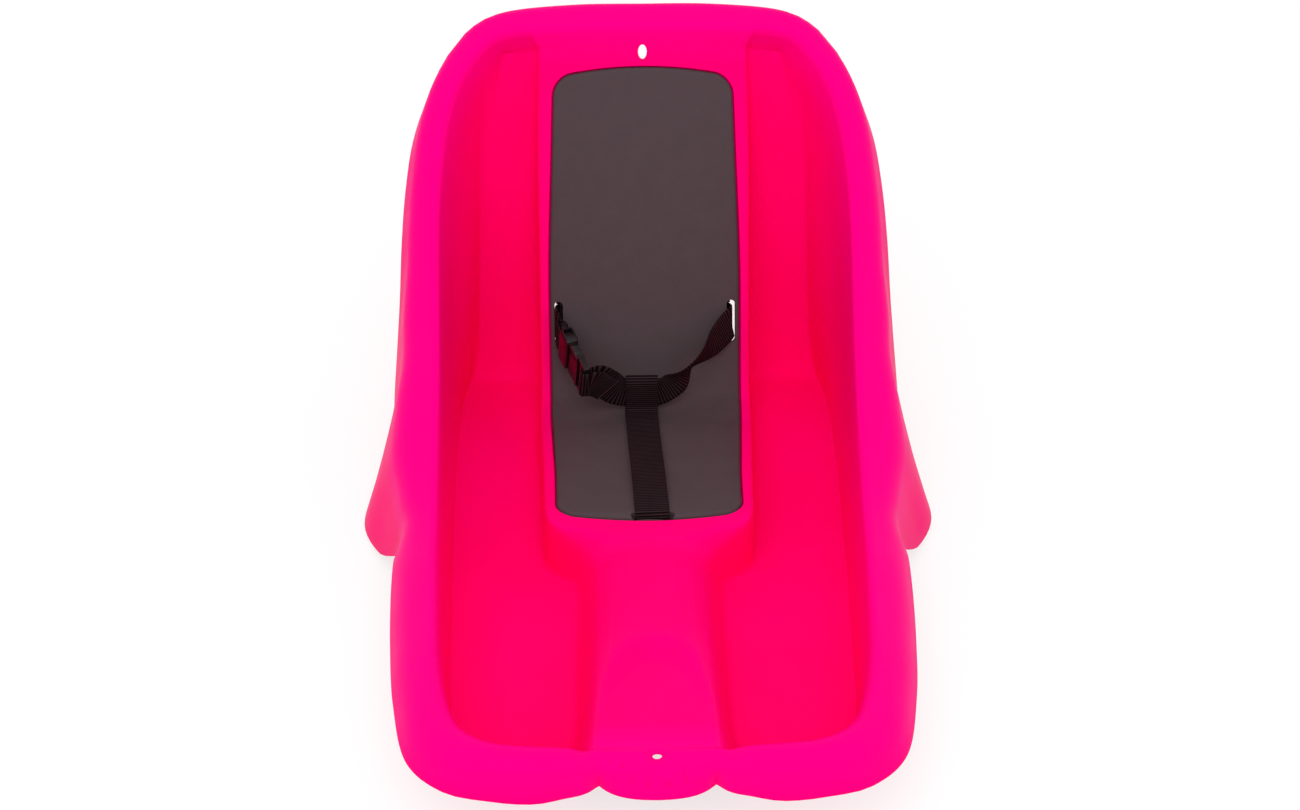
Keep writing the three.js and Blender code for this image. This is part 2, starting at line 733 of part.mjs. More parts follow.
// Frames of the three anchors; side is the side of the bar on which the webbing leaves it
function anchorFrame(slotFrame, across, side) {
  const shift = new THREE.Matrix4().makeTranslation(across - side * foldRadius, 0, anchorLift);
  return slotFrame.clone().multiply(shift);
}

const [leftFrame, rightFrame] = beltFrames;
const crotchTurned = crotchFrame.clone().multiply(new THREE.Matrix4().makeRotationZ(-Math.PI / 2));
const leftAnchor = anchorFrame(leftFrame, leftAcross, -1);
const rightAnchor = anchorFrame(rightFrame, rightAcross, 1);
const crotchAnchor = anchorFrame(crotchTurned, 0, 1);

// Webbing from its sewn end up through a slot, in the slot's frame
function throughSlot(slotFrame, across) {
  return [anchorLift, -recessDepth, slotLift].map((lift) => vec(across, 0, lift).applyMatrix4(slotFrame));
}

const alongSlot = vec(0, 1, 0).transformDirection(leftFrame);

// A place over the seat, from its shares of half the width and half the length
function overSeat([across, place], lift) {
  const y = place * halfLength;
  return vec(across * halfWidth, y, seatHeight(y) + lift);
}

// The buckle's frame: X from the socket to the plug, Y across the width
const toBuckle = throughSlot(leftFrame, leftAcross).at(-1);
const buckleAxis = overSeat(ladderShares, ladderLift).sub(toBuckle).normalize();
const upright = vec(0, 0, 1);
const buckleAcross = upright.clone().addScaledVector(buckleAxis, -upright.dot(buckleAxis)).normalize();
const buckleFrame = new THREE.Matrix4()
  .makeBasis(buckleAxis, buckleAcross, buckleAxis.clone().cross(buckleAcross))
  .setPosition(toBuckle.clone().addScaledVector(buckleAxis, buckleLead));
const inBuckle = (x, z) => vec(x, 0, z).applyMatrix4(buckleFrame);

const yokeLength = yokeBar + yokeSlot;
const bodyStart = socketLength + mouthGap;
const headStart = bodyStart + bodyReach;
const ladderStart = headStart + headLength;
const ladderEnd = ladderStart + 2 * (ladderSlot + ladderBar);
const besideLadder = (place) => inBuckle(ladderEnd, 0).add(vec(...place));
const halfBuckle = buckleWidth / 2;
const cavityHalf = halfBuckle - socketWall;
const cavityLift = buckleThickness / 2 - socketWall;
const openingHalf = webbingWidth / 2 + 4 * fit;
const webSide = yokeThickness / 2 + fit + webbing / 2 + fit;

// Short webbing: from the left slot round the socket's yoke bar, and sewn to itself
function leftStrap() {
  const start = throughSlot(leftFrame, leftAcross);
  const bar = yokeBar + yokeSlot / 2;
  const path = [
    ...start,
    inBuckle(-buckleLead / 2, 0),
    inBuckle(-yokeBar, -webSide * consoleTopShare),
    inBuckle(0, -webSide),
    inBuckle(yokeBar, -webSide),
    inBuckle(bar, 0),
    inBuckle(yokeBar, webSide),
    inBuckle(0, webSide),
    inBuckle(-yokeBar, webSide * consoleSideShare),
    inBuckle(-buckleLead / 2, webbing + fit),
  ];
  const widths = path.map((_, place) => (place < start.length ? alongSlot : buckleAcross).clone());
  const seam = block(
    vec(-buckleLead / 2 - fit, -webbingWidth / 2 + fit, -webbing / 4),
    vec(-buckleLead / 2 + webbing, webbingWidth / 2 - fit, webbing + 2 * fit),
  ).applyMatrix4(buckleFrame);
  return cut(ribbon(path, widths, 60), [], [sewnEnd().applyMatrix4(leftAnchor), seam]);
}

// Long webbing: from the right slot through the crotch strap's loop, round the plug's outer
// ladder bar, and back along itself as a free tail
function rightStrap() {
  const start = throughSlot(rightFrame, rightAcross).reverse();
  const inside = ladderEnd - ladderBar;
  const clear = webbing / 2 + fit;
  const corner = yokeThickness / 2 + clear;
  const slot = inside - clear - fit;
  const outside = ladderEnd + clear + 3 * fit;
  const tail = [
    ...tailPlaces.map(besideLadder),
    inBuckle(outside, -webSide),
    inBuckle(outside, 0),
    inBuckle(ladderEnd + clear, corner),
    inBuckle(ladderEnd - ladderBar / 2, webSide + webbing / 2),
    inBuckle(inside - clear, corner),
    inBuckle(slot, 0),
    inBuckle(slot, -webSide),
    inBuckle(slot, -webSide - 2 * ladderSlot),
  ];
  const lead = leadPlaces.map(besideLadder);
  const belt = [...lead, ...beltShares.map((share, place) => overSeat(share, beltLifts[place]))];
  const twist = overSeat(twistShares, twistLift);
  const path = [...tail, ...belt, twist, overSeat(climbShares, climbLift), ...start];
  const widths = [
    ...tail.map(() => buckleAcross.clone()),
    ...belt.map(() => upright.clone()),
    vec(...twistAcross),
    vec(...twistAcross).lerp(alongSlot, consoleSideShare),
    ...start.map(() => alongSlot.clone()),
  ];
  return cut(ribbon(path, widths, 110), [], [sewnEnd().applyMatrix4(rightAnchor)]);
}

// Crotch webbing: from its slot along the pad to a sewn loop that holds the lap webbing upright
function crotchStrap() {
  const start = throughSlot(crotchFrame, 0);
  const side = webbing / 2 + 2 * fit;
  const foot = seatDistance('y', loopFootShare * halfLength);
  const lean = (s) => mix(crotchPlace, loopPlace, s / foot);
  const on = (s, lift) => onSeat(lean(s), s, lift);
  const belt = overSeat(beltShares[0], beltLifts[0]);
  const at = (y, z) => vec(loopPlace, y, z);
  const ahead = belt.y - loopReach;
  const behind = belt.y + loopReach;
  const loopTop = seatHeight(belt.y) + loopLift;
  const path = [
    ...start.slice(0, 2),
    on(crotchInset + side, side * consoleTopShare),
    on(crotchInset + 3 * webbing, side + fit),
    on(strapMiddle, strapRise),
    on(foot - seamLength, 2 * side + webbing),
    at(ahead - fit, belt.z - webbingWidth / 2),
    at(ahead, belt.z),
    at(ahead, loopTop - loopReach),
    at(belt.y, loopTop),
    at(behind, loopTop - loopReach),
    at(behind, belt.z),
    at(behind, belt.z - (webbingWidth + webbing) / 2),
    on(foot + 3 * seamLength, side + fit),
    on(foot - seamLength, side),
  ];
  const seam = block(
    vec(-webbingWidth / 2 + fit, 0, side),
    vec(webbingWidth / 2 - fit, webbing, 2 * side + webbing),
  ).applyMatrix4(seatFrame(lean(foot - seamLength), foot - seamLength));
  const sideways = vec(1, 0, 0);
  const widths = path.map(() => sideways.clone());
  return cut(ribbon(path, widths, 96), [], [sewnEnd().applyMatrix4(crotchAnchor), seam]);
}

// A flat plate with rounded corners in plan, from one corner to the other
function plate(from, to, corner) {
  const outline = new THREE.Shape();
  outline.absarc(to.x - corner, from.y + corner, corner, -Math.PI / 2, 0);
  outline.absarc(to.x - corner, to.y - corner, corner, 0, Math.PI / 2);
  outline.absarc(from.x + corner, to.y - corner, corner, Math.PI / 2, Math.PI);
  outline.absarc(from.x + corner, from.y + corner, corner, Math.PI, 1.5 * Math.PI);
  const depth = to.z - from.z;
  const shape = new THREE.ExtrudeGeometry(outline, { depth, bevelEnabled: false, curveSegments: 4 });
  return shape.translate(0, 0, from.z);
}

// The socket: a sleeve open at the mouth with a window in each edge, and a yoke for the webbing
function socketGeometry() {
  const halfYoke = yokeThickness / 2;
  const halfThick = buckleThickness / 2;
  const inner = yokeLength + socketWall;
  const sleeve = plate(
    vec(yokeLength, -halfBuckle, -halfThick),
    vec(socketLength, halfBuckle, halfThick),
    2 * socketWall,
  );
  const yoke = plate(
    vec(0, -cavityHalf, -halfYoke),
    vec(inner, cavityHalf, halfYoke),
    socketWall,
  );
  const opening = block(
    vec(yokeBar, -openingHalf, -halfThick),
    vec(yokeLength, openingHalf, halfThick),
  );
  const cavity = block(
    vec(inner, -cavityHalf, -cavityLift),
    vec(socketLength + socketWall, cavityHalf, cavityLift),
  );
  const windowStart = inner + socketWall;
  const windows = block(
    vec(windowStart, -buckleWidth, -cavityLift),
    vec(windowStart + windowLength, buckleWidth, cavityLift),
  );
  return cut(sleeve, [opening, cavity, windows], [yoke]);
}

// The plug without its sprung arms: tongue, body, head and ladder bars
function plugGeometry() {
  const halfThick = plugThickness / 2;
  const halfBody = plugBodyWidth / 2;
  const tongueHalf = tongueWidth / 2;
  const tongue = plate(
    vec(bodyStart - tongueLength, -tongueHalf, -socketWall),
    vec(bodyStart + socketWall, tongueHalf, socketWall),
    socketWall,
  );
  const body = block(
    vec(bodyStart, -halfBody, -halfThick),
    vec(headStart + socketWall, halfBody, halfThick),
  );
  const head = plate(
    vec(headStart, -halfBuckle, -halfThick),
    vec(ladderStart, halfBuckle, halfThick),
    socketWall / 2,
  );
  const ladder = plate(
    vec(ladderStart - socketWall, -halfBuckle, -yokeThickness / 2),
    vec(ladderEnd, halfBuckle, yokeThickness / 2),
    socketWall,
  );
  const slots = [0, 1].map((row) => {
    const from = ladderStart + row * (ladderSlot + ladderBar);
    return block(vec(from, -openingHalf, -halfThick), vec(from + ladderSlot, openingHalf, halfThick));
  });
  return cut(ladder, slots, [head, body, tongue]);
}

// One sprung arm: a slim leg with a ribbed grip outside and a barb inside the socket.
// Its root is at the origin and it reaches back along -X; side is +1 or -1 across the buckle.
const prongPlace = cavityHalf - fit - prongWidth / 2;
function prongGeometry(side) {
  const half = prongWidth / 2;
  const tip = -prongLength;
  const barb = tip + barbLength;
  const grip = -(bodyReach - prongGrip) / 2;
  const gripEnd = grip - prongGrip;
  const outline = new THREE.Shape();
  const corners = [
    [0, -half], [tip + half, -half], [tip, 0], [tip + half, half + fit],
    [barb - fit, half + prongBarb], [barb, half - fit], [gripEnd - fit, half - fit],
    [gripEnd, half + fit], [gripEnd + half, half + prongBow], [grip - half, half + prongBow],
    [grip, half], [0, half],
  ];
  corners.forEach(([x, y], place) => {
    if (place === 0) outline.moveTo(x, side * y);
    else outline.lineTo(x, side * y);
  });
  const depth = 2 * (cavityLift - fit);
  return new THREE.ExtrudeGeometry(outline, { depth, bevelEnabled: false }).translate(0, 0, -depth / 2);
}

function prongFrame(side) {
  const root = new THREE.Matrix4().makeTranslation(headStart - fit, side * prongPlace, 0);
  return buckleFrame.clone().multiply(root);
}

const moulded = new THREE.MeshStandardMaterial({ color: 0xff0078, roughness: 0.32, metalness: 0 });
const foam = new THREE.MeshStandardMaterial({ color: 0x54494d, roughness: 0.9, metalness: 0 });
const woven = new THREE.MeshStandardMaterial({ color: 0x1a1416, roughness: 0.85, metalness: 0 });
const acetal = new THREE.MeshStandardMaterial({ color: 0x0c0b0d, roughness: 0.25, metalness: 0 });

const sled = new THREE.Group();

function place(name, geometry, material, matrix) {
  const mesh = new THREE.Mesh(geometry, material.clone());
  mesh.name = name;
  if (matrix) {
    matrix.decompose(mesh.position, mesh.quaternion, mesh.scale);
  }
  sled.add(mesh);
  return mesh;
}

place('shell', shellGeometry(), moulded);
place('seat_pad', padGeometry(), foam);
place('lap_strap_left', leftStrap(), woven);
place('lap_strap_right', rightStrap(), woven);
place('crotch_strap', crotchStrap(), woven);
place('buckle_socket', socketGeometry(), acetal, buckleFrame);
place('buckle_plug', plugGeometry(), acetal, buckleFrame);
place('prong_upper', prongGeometry(1), acetal, prongFrame(1));
place('prong_lower', prongGeometry(-1), acetal, prongFrame(-1));
place('anchor_left', anchorGeometry(), acetal, leftAnchor);
place('anchor_right', anchorGeometry(), acetal, rightAnchor);
place('anchor_crotch', anchorGeometry(), acetal, crotchAnchor);

export default sled;
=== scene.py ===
"""Baby pull sled: a smooth moulding, a foam pad, ribbed webbing and a side-release buckle,
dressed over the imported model, in a plain pale studio. Metres, +Z up, the front faces -Y."""
import math

import bmesh
import bpy
import numpy as np
from bpy.props import FloatProperty, FloatVectorProperty, PointerProperty
from mathutils import Matrix, Vector
from mathutils.bvhtree import BVHTree
from mathutils.kdtree import KDTree


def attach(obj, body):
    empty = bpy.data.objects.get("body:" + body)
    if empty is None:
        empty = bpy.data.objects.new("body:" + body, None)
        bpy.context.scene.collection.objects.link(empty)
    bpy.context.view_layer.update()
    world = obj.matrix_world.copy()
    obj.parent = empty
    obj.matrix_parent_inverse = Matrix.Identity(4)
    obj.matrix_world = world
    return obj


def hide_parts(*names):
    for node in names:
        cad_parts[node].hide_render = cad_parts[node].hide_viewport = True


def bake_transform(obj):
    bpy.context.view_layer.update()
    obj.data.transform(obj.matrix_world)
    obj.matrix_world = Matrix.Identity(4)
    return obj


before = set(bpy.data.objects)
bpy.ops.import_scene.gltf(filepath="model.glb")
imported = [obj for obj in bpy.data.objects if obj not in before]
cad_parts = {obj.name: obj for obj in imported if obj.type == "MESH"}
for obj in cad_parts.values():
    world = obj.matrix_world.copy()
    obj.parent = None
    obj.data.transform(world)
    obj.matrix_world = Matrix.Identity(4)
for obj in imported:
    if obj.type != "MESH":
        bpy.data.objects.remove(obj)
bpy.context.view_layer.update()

bl_info = {
    "name": "Baby pull sled",
    "version": (1, 0, 0),
    "blender": (4, 5, 0),
    "location": "3D View > Sidebar > Sled",
    "description": "Builds a moulded pull sled with a foam pad and a buckled lap harness",
    "category": "Object",
}

# The small gap kept between pieces that meet
FIT = 0.0003

# Foot wells: a level floor that turns up into the channels beside the back
CHANNEL_FOOT = 0.255
CHANNEL_LEAN = 0.221
CHANNEL_BEND = 0.018

# Console between the legs, with a lower landing in front of an arched step
ARCH_APEX = -0.2215
ARCH_RUN = 0.042
ARCH_HALF = 0.043
ARCH_RAMP = 0.024
ARCH_DROP = 0.011
CONSOLE_SHOULDER = 0.014
BOX_INNER_SHARE = 0.8
BOX_SIDE_SHARE = 0.9
CONSOLE_TOP_SHARE = 0.45
CONSOLE_SIDE_SHARE = 0.75
CONSOLE_FALL_SHARE = 0.3

# Seat box and its pad recess
RECESS_DEPTH = 0.008
RECESS_GAP = 0.0015
BOX_RUN = 0.028
RECESS_FRONT = -0.0425
RECESS_BACK = 0.3085
GUIDE_DRAFT = 0.0024

# Rim, skirt and front scallops
BASE_ROUND = 0.010
FRONT_ROUND = 0.020
CHANNEL_ROUND = 0.045
RIM_ROUND = 0.009
LOBE_ROUND = 0.016
SHOULDER_ROUND = 0.015
RIDGE_ROUND = 0.005
CONSOLE_ROUND = 0.011
SCALLOP_PLACE = 0.044
SCALLOP_DEPTH = 0.017
SCALLOP_FADE = 0.3
SCALLOP_WIDTH = 0.015
FRONT_WALL_SHARE = 0.72
WELL_WALL_SHARE = 0.1
CHANNEL_WALL_SHARE = 0.28
BACK_WALL_SHARE = 0.3

# The stations at which the edge turns its corners, and how many stations each turn takes
FRONT_CORNER = 5
FRONT_TURN = 3
BACK_CORNER = 22
BACK_TURN = 2

# How much of a leg a rounded corner may take, between two corners and at the path's ends
INNER_SHARE = 0.45
END_SHARE = 0.85

# Holes in the body
SLOT_LENGTH = 0.040
SLOT_WIDTH = 0.008
SLOT_PLACE = 0.0805
SLOT_HEIGHT = 0.100
CUT_DEPTH = 0.040
HANG_HOLE = 0.014
HANG_HOLE_WIDTH = 0.008
HANG_HOLE_HEIGHT = 0.321
ROPE_HOLE = 0.007
ROPE_HOLE_DEEP = 0.0048
ROPE_HOLE_PLACE = -0.331
ROPE_DISH = 0.0075
ROPE_DISH_DEPTH = 0.0016
ROPE_DISH_FLARE = 1.15
ROPE_DISH_TURNS = (0.02, 0.3, 0.6, 0.9, 1.2, math.pi / 2)

# Flutes on the front lobe: where each starts and ends, in pixels of the 1300 x 810 picture
FLUTES = (
    ((623.9, 762.3), (615.3, 781.5)),
    ((633.7, 773.0), (630.0, 785.3)),
    ((649.3, 778.4), (648.4, 787.6)),
    ((667.9, 778.4), (668.9, 787.6)),
    ((683.2, 769.2), (687.0, 786.0)),
    ((693.1, 762.3), (700.5, 782.2)),
)
FLUTE_WIDTH = 0.0015
FLUTE_HEIGHT = 0.0011
FLUTE_TIP_SHARE = 0.02
FLUTE_STEPS = 10
FLUTE_SIDES = 8

# Seat pad
PAD_PROUD = 0.002
PAD_GAP = 0.001
PAD_CORNER = 0.016
PAD_ARCH = 0.009
PAD_BOW = 0.011
PAD_EDGE = 0.0030
PAD_CROWN = 0.0005
PAD_EDGE_POWER = 0.7
PAD_ROW = 0.004
PAD_COLUMNS = 32
PAD_CORNER_STEPS = 12
PAD_EDGE_STEPS = 8
SEAT_STEPS = 1200

# Webbing, the slots it passes through and its anchors
CROTCH_PLACE = 0.0025
CROTCH_INSET = 0.005
CROTCH_SLOT_LENGTH = 0.038
CROTCH_SLOT_WIDTH = 0.007
ANCHOR_RADIUS = 0.0035
ANCHOR_LENGTH = 0.050
LEFT_STRAP_PLACE = -0.0832
RIGHT_STRAP_PLACE = 0.0806
ANCHOR_WRAP = (-285, -15)
ANCHOR_NOSE = ((0, 1 / 35), (0.0001, 0.55), (0.0006, 0.85), (0.0016, 1))
COLLAR_WIDTH = 0.002
COLLAR_RISE = 0.0012
COLLAR_EASE = 0.0005
WRAP_EASE_SHARE = 0.45
WRAP_RISE_SHARE = 0.75
TWIST_SHARE = 0.75

# The webbing's section as shares of half its width and half its thickness, and its ribs
WEBBING_SECTION = (
    (-1, 0), (-0.97, 0.7), (-0.78, 1), (-0.4, 1), (0, 1), (0.4, 1), (0.78, 1), (0.97, 0.7), (1, 0),
)
WEBBING_SIDES = 2 * len(WEBBING_SECTION) - 2
SELVEDGE_SHARE = 0.9
RIB_SINK_SHARE = 0.16
RIB_NIP_SHARE = 0.012
ROWS_PER_RIB = 4
STEPS_PER_LEG = 40
ZIGZAG = 0.0007
YARN_WIDTH = 0.0009
FUSED_PALE = (6.0, 3.0)

# Seams: their length, the rows of stitches and the shape of one stitch
SEAM_LENGTH = 0.005
STITCH_ROW_GAP = 0.0035
LAP_ROW_GAP = 0.003
SEAM_LEAD = 0.001
STITCH_MARGIN = 0.0025
STITCH_SPACING = 1.35
STITCH_LIFT_SHARE = 0.2
STITCH_END_SHARE = 0.35
STITCH_SIDES = 6
STITCH_STEPS = 6

# Where the harness lies above the seat
SLOT_LIFT = 0.002
BUCKLE_LEAD = 0.015
LADDER_PLACE = (-0.0555, 0.127, 0.084)
BELT_PLACES = (
    (-0.036, 0.138, 0.075),
    (-0.026, 0.1413, 0.063),
    (-0.005, 0.1425, 0.059),
    (0.009, 0.143, 0.0595),
    (0.024, 0.146, 0.066),
)
TAIL_PLACES = ((-0.035, 0.134, 0.070), (-0.044, 0.1306, 0.078))
TWIST_PLACE = (0.043, 0.153, 0.084)
TWIST_ACROSS = (0.12, -0.62, 0.78)
CLIMB_PLACE = (0.064, 0.176, 0.093)
LOOP_REACH = 0.004
LOOP_HEIGHT = 0.0794
LOOP_PLACE = -0.004
LOOP_FOOT = 0.125
STRAP_RISE = 0.005
STRAP_MIDDLE = 0.055

# Side-release buckle
BUCKLE_WIDTH = 0.038
BUCKLE_THICKNESS = 0.012
YOKE_THICKNESS = 0.005
YOKE_BAR = 0.0035
YOKE_SLOT = 0.0045
SOCKET_LENGTH = 0.028
SOCKET_WALL = 0.002
WINDOW_LENGTH = 0.008
MOUTH_GAP = 0.0006
BODY_REACH = 0.0164
PLUG_BODY_WIDTH = 0.020
PLUG_THICKNESS = 0.007
HEAD_LENGTH = 0.004
LADDER_SLOT = 0.0046
LADDER_BAR = 0.003
TONGUE_WIDTH = 0.007
TONGUE_LENGTH = 0.016
PRONG_WIDTH = 0.004
PRONG_BOW = 0.0016
PRONG_LENGTH = 0.033
PRONG_BARB = 0.0024
BARB_LENGTH = 0.008
PRONG_GRIP = 0.013
GRIP_RIBS = 4
GRIP_STEPS = 6
GRIP_EDGE_SHARE = 0.75
GRIP_VALLEY_SHARE = 0.7
SLEEVE_ROUND = 0.0022
SLEEVE_EASE = 0.00035
PLUG_EASE = 0.0005
PRONG_EASE = 0.0004

# The studio: each light's power, place and size, where they aim, and the floor
LIGHTS = (
    ("front_light", "key", (-0.2, -1.7, 2.4), 2.4),
    ("left_light", "side", (-2.2, -0.2, 1.7), 1.6),
    ("right_light", "side", (2.2, -0.2, 1.7), 1.6),
)
LIGHT_AIM = (0, 0, 0.12)
FLOOR_REACH = 6.0
FLOOR_GREY = (0.8, 0.8, 0.8, 1)
FLOOR_WHITE = 1.02

# The camera that the picture was taken with
PICTURE_WIDTH = 1300
PICTURE_HEIGHT = 810
CAMERA_PLACE = (-0.0269, -1.4501, 1.2464)
CAMERA_TARGET = (0.0022, 0.067, 0.103)
SENSOR = 36.0

# Stations of the body's edge, from the middle of the front to the middle of the back, as
# shares of half the width, half the length and the height: the floor's edge (x, y), the
# inner edge of the rim (x, y, z), the lower edge of the skirt (x, y, z), and how far the
# rim's band reaches towards the skirt and how much it falls or rises on its way.
EDGE_SHARES = (
    (0.000, -0.855, 0.000, -0.901, 0.221, 0.000, -0.975, 0.156, 0.62, -0.015),
    (0.180, -0.855, 0.180, -0.904, 0.231, 0.176, -0.989, 0.167, 0.62, -0.015),
    (0.271, -0.775, 0.267, -0.910, 0.253, 0.267, -0.989, 0.172, 0.64, -0.015),
    (0.369, -0.770, 0.369, -0.910, 0.261, 0.365, -0.997, 0.173, 0.66, -0.015),
    (0.478, -0.760, 0.486, -0.899, 0.263, 0.486, -0.989, 0.176, 0.68, -0.015),
    (0.565, -0.735, 0.580, -0.852, 0.263, 0.626, -0.962, 0.178, 0.70, -0.015),
    (0.612, -0.690, 0.631, -0.751, 0.263, 0.741, -0.879, 0.181, 0.72, -0.017),
    (0.635, -0.612, 0.659, -0.630, 0.266, 0.795, -0.718, 0.185, 0.74, -0.020),
    (0.651, -0.466, 0.675, -0.477, 0.269, 0.822, -0.548, 0.185, 0.74, -0.023),
    (0.659, -0.301, 0.686, -0.351, 0.275, 0.838, -0.384, 0.187, 0.74, -0.025),
    (0.667, -0.197, 0.690, -0.285, 0.278, 0.842, -0.268, 0.190, 0.74, -0.028),
    (0.671, -0.104, 0.694, -0.214, 0.286, 0.852, -0.164, 0.116, 0.70, -0.025),
    (0.675, 0.000, 0.698, -0.132, 0.303, 0.928, -0.062, 0.035, 0.56, -0.023),
    (0.682, 0.137, 0.702, -0.022, 0.338, 0.993, 0.050, 0.025, 0.52, -0.023),
    (0.686, 0.285, 0.706, 0.099, 0.388, 0.974, 0.170, 0.040, 0.54, -0.023),
    (0.686, 0.427, 0.710, 0.208, 0.448, 0.916, 0.268, 0.110, 0.62, -0.023),
    (0.678, 0.562, 0.714, 0.312, 0.519, 0.897, 0.356, 0.246, 0.68, -0.023),
    (0.643, 0.658, 0.718, 0.411, 0.595, 0.875, 0.447, 0.416, 0.68, -0.020),
    (0.596, 0.723, 0.718, 0.504, 0.671, 0.864, 0.534, 0.547, 0.68, -0.015),
    (0.573, 0.784, 0.710, 0.597, 0.747, 0.850, 0.630, 0.649, 0.66, -0.008),
    (0.557, 0.830, 0.690, 0.685, 0.822, 0.823, 0.729, 0.739, 0.66, 0.002),
    (0.533, 0.866, 0.647, 0.764, 0.890, 0.767, 0.833, 0.807, 0.64, 0.013),
    (0.494, 0.888, 0.576, 0.830, 0.940, 0.667, 0.926, 0.858, 0.64, 0.028),
    (0.455, 0.896, 0.478, 0.860, 0.966, 0.520, 0.975, 0.887, 0.64, 0.039),
    (0.235, 0.882, 0.243, 0.871, 0.975, 0.253, 0.997, 0.898, 0.64, 0.043),
    (0.000, 0.871, 0.000, 0.874, 0.975, 0.000, 1.000, 0.900, 0.64, 0.043),
)

# Stations of the console and the seat box from front to back: the place and height of the
# top, half its width at the top and at the floor (shares as above), where the foot of its
# side wall lies along the sled, and the edge station that lies beside it.
RIDGE_SHARES = (
    (-0.855, 0.252, 0.196, 0.271, -0.775, 5),
    (-0.795, 0.253, 0.192, 0.258, -0.728, 5.6),
    (-0.707, 0.253, 0.184, 0.246, -0.657, 6.4),
    (-0.608, 0.251, 0.180, 0.242, -0.572, 7.2),
    (-0.493, 0.233, 0.176, 0.243, -0.465, 8),
    (-0.362, 0.207, 0.176, 0.245, -0.338, 8.9),
    (-0.263, 0.185, 0.178, 0.245, -0.240, 9.7),
    (-0.214, 0.173, 0.186, 0.248, -0.190, 10.2),
    (-0.189, 0.172, 0.208, 0.258, -0.164, 10.5),
    (-0.164, 0.177, 0.254, 0.288, -0.146, 10.8),
    (-0.140, 0.181, 0.306, 0.326, -0.127, 11.1),
    (-0.110, 0.181, 0.340, 0.352, -0.096, 11.5),
    (-0.066, 0.176, 0.353, 0.364, -0.044, 11.9),
    (0.016, 0.163, 0.359, 0.372, 0.055, 12.5),
    (0.164, 0.141, 0.369, 0.383, 0.203, 13.5),
    (0.285, 0.122, 0.378, 0.392, 0.340, 14.5),
    (0.367, 0.110, 0.383, 0.397, 0.460, 15.4),
    (0.433, 0.117, 0.384, 0.400, 0.564, 16.1),
    (0.482, 0.161, 0.384, 0.400, 0.652, 16.9),
    (0.532, 0.252, 0.384, 0.400, 0.701, 17.6),
    (0.619, 0.425, 0.384, 0.400, 0.748, 18.5),
    (0.707, 0.598, 0.384, 0.400, 0.795, 19.4),
    (0.789, 0.759, 0.380, 0.396, 0.838, 20.4),
    (0.838, 0.857, 0.376, 0.388, 0.871, 21.2),
    (0.860, 0.923, 0.373, 0.380, 0.890, 22),
)

# The rows of that table between which the seat turns up into the back
SEAT_TURN = (15, 19)

# Half the pad's width along it: places as shares of half the length, widths of half the width
PAD_SHARES = (
    (-0.135, 0.313),
    (0.05, 0.319),
    (0.25, 0.333),
    (0.43, 0.345),
    (0.58, 0.346),
    (0.78, 0.328),
    (0.87, 0.318),
)

# How finely the body is drawn: rows along it, steps across it and out over the rim
ROW_FINENESS = 3
ROW_LEGS = (6, 4, 3, 5, 8)
ROW_CORNERS = (3, 3, 5, 6)
RIM_LEGS = (3, 4, 4, 5)
RIM_CORNERS = (10, 6, 6)
# The rings of the rim that form its crest, and how near and how far from them the painted sheen on
# the rim fades out.
RIM_LEVELS = (16, 32)
RIM_SHEEN_NEAR = 0.004
RIM_SHEEN_FADE = 0.030
LIP_STEPS = 4
NORMAL_PASSES = 3


def length(name, description, default):
    """A size property in metres."""
    return FloatProperty(
        name=name, description=description, default=default, min=0.0, unit="LENGTH", precision=4
    )


def share(name, description, default):
    """A property that is a share from nought to one."""
    return FloatProperty(
        name=name, description=description, default=default, min=0.0, max=1.0, subtype="FACTOR"
    )


def power(name, description, default):
    """The power of a light."""
    return FloatProperty(name=name, description=description, default=default, unit="POWER")


def colour(name, description, default):
    """A colour property."""
    return FloatVectorProperty(
        name=name, description=description, default=default, size=3, min=0.0, max=1.0,
        subtype="COLOR",
    )


class SledBodySizes(bpy.types.PropertyGroup):
    """Sizes of the moulded body and its pad."""

    long: length("Length", "Length of the body from lobe to back", 0.730)
    wide: length("Width", "Width of the body over the hips", 0.510)
    high: length("Height", "Height of the body at the top of the back", 0.353)
    wall: length("Wall", "Thickness of the moulded wall", 0.003)
    pad: length("Pad", "Thickness of the foam pad", 0.0077)


class SledHarnessSizes(bpy.types.PropertyGroup):
    """Sizes of the webbing and its stitches."""

    width: length("Webbing width", "Width of the webbing", 0.030)
    thickness: length("Webbing thickness", "Thickness of the webbing", 0.0016)
    rib: length("Rib pitch", "Distance between the ribs across the webbing", 0.0024)
    stitch: length("Stitch", "Length of one stitch", 0.0030)
    thread: length("Thread", "Thickness of the sewing thread", 0.0008)


class SledFinish(bpy.types.PropertyGroup):
    """Colours and sheen of the finishes."""

    moulding: colour("Moulding", "Colour of the moulded plastic", (0.98, 0.0, 0.155))
    # The rim colour is not the plastic's own: it is a painted sheen, a bluer pink standing in for
    # the light that the upturned rims and lobes catch.
    rim: colour("Rim", "Colour of the plastic on the rims", (0.98, 0.0, 0.215))
    gloss: colour("Moulding gloss", "Tint of the moulding's highlights", (1.0, 0.0, 1.0))
    smoothness: share("Moulding roughness", "Roughness of the moulded plastic", 0.42)
    foam: colour("Foam", "Colour of the pad", (0.066, 0.047, 0.053))
    webbing: colour("Webbing", "Colour of the webbing", (0.0040, 0.0012, 0.0020))
    # The rib colour is a painted highlight: the light caught on the crests of the webbing's ribs,
    # drawn over the webbing's own dark colour.
    rib: colour("Rib", "Colour of the crests of the webbing's ribs", (0.062, 0.038, 0.045))
    thread: colour("Thread", "Colour of the sewing thread", (0.15, 0.125, 0.13))
    buckle: colour("Buckle", "Colour of the buckle", (0.0060, 0.0030, 0.0040))


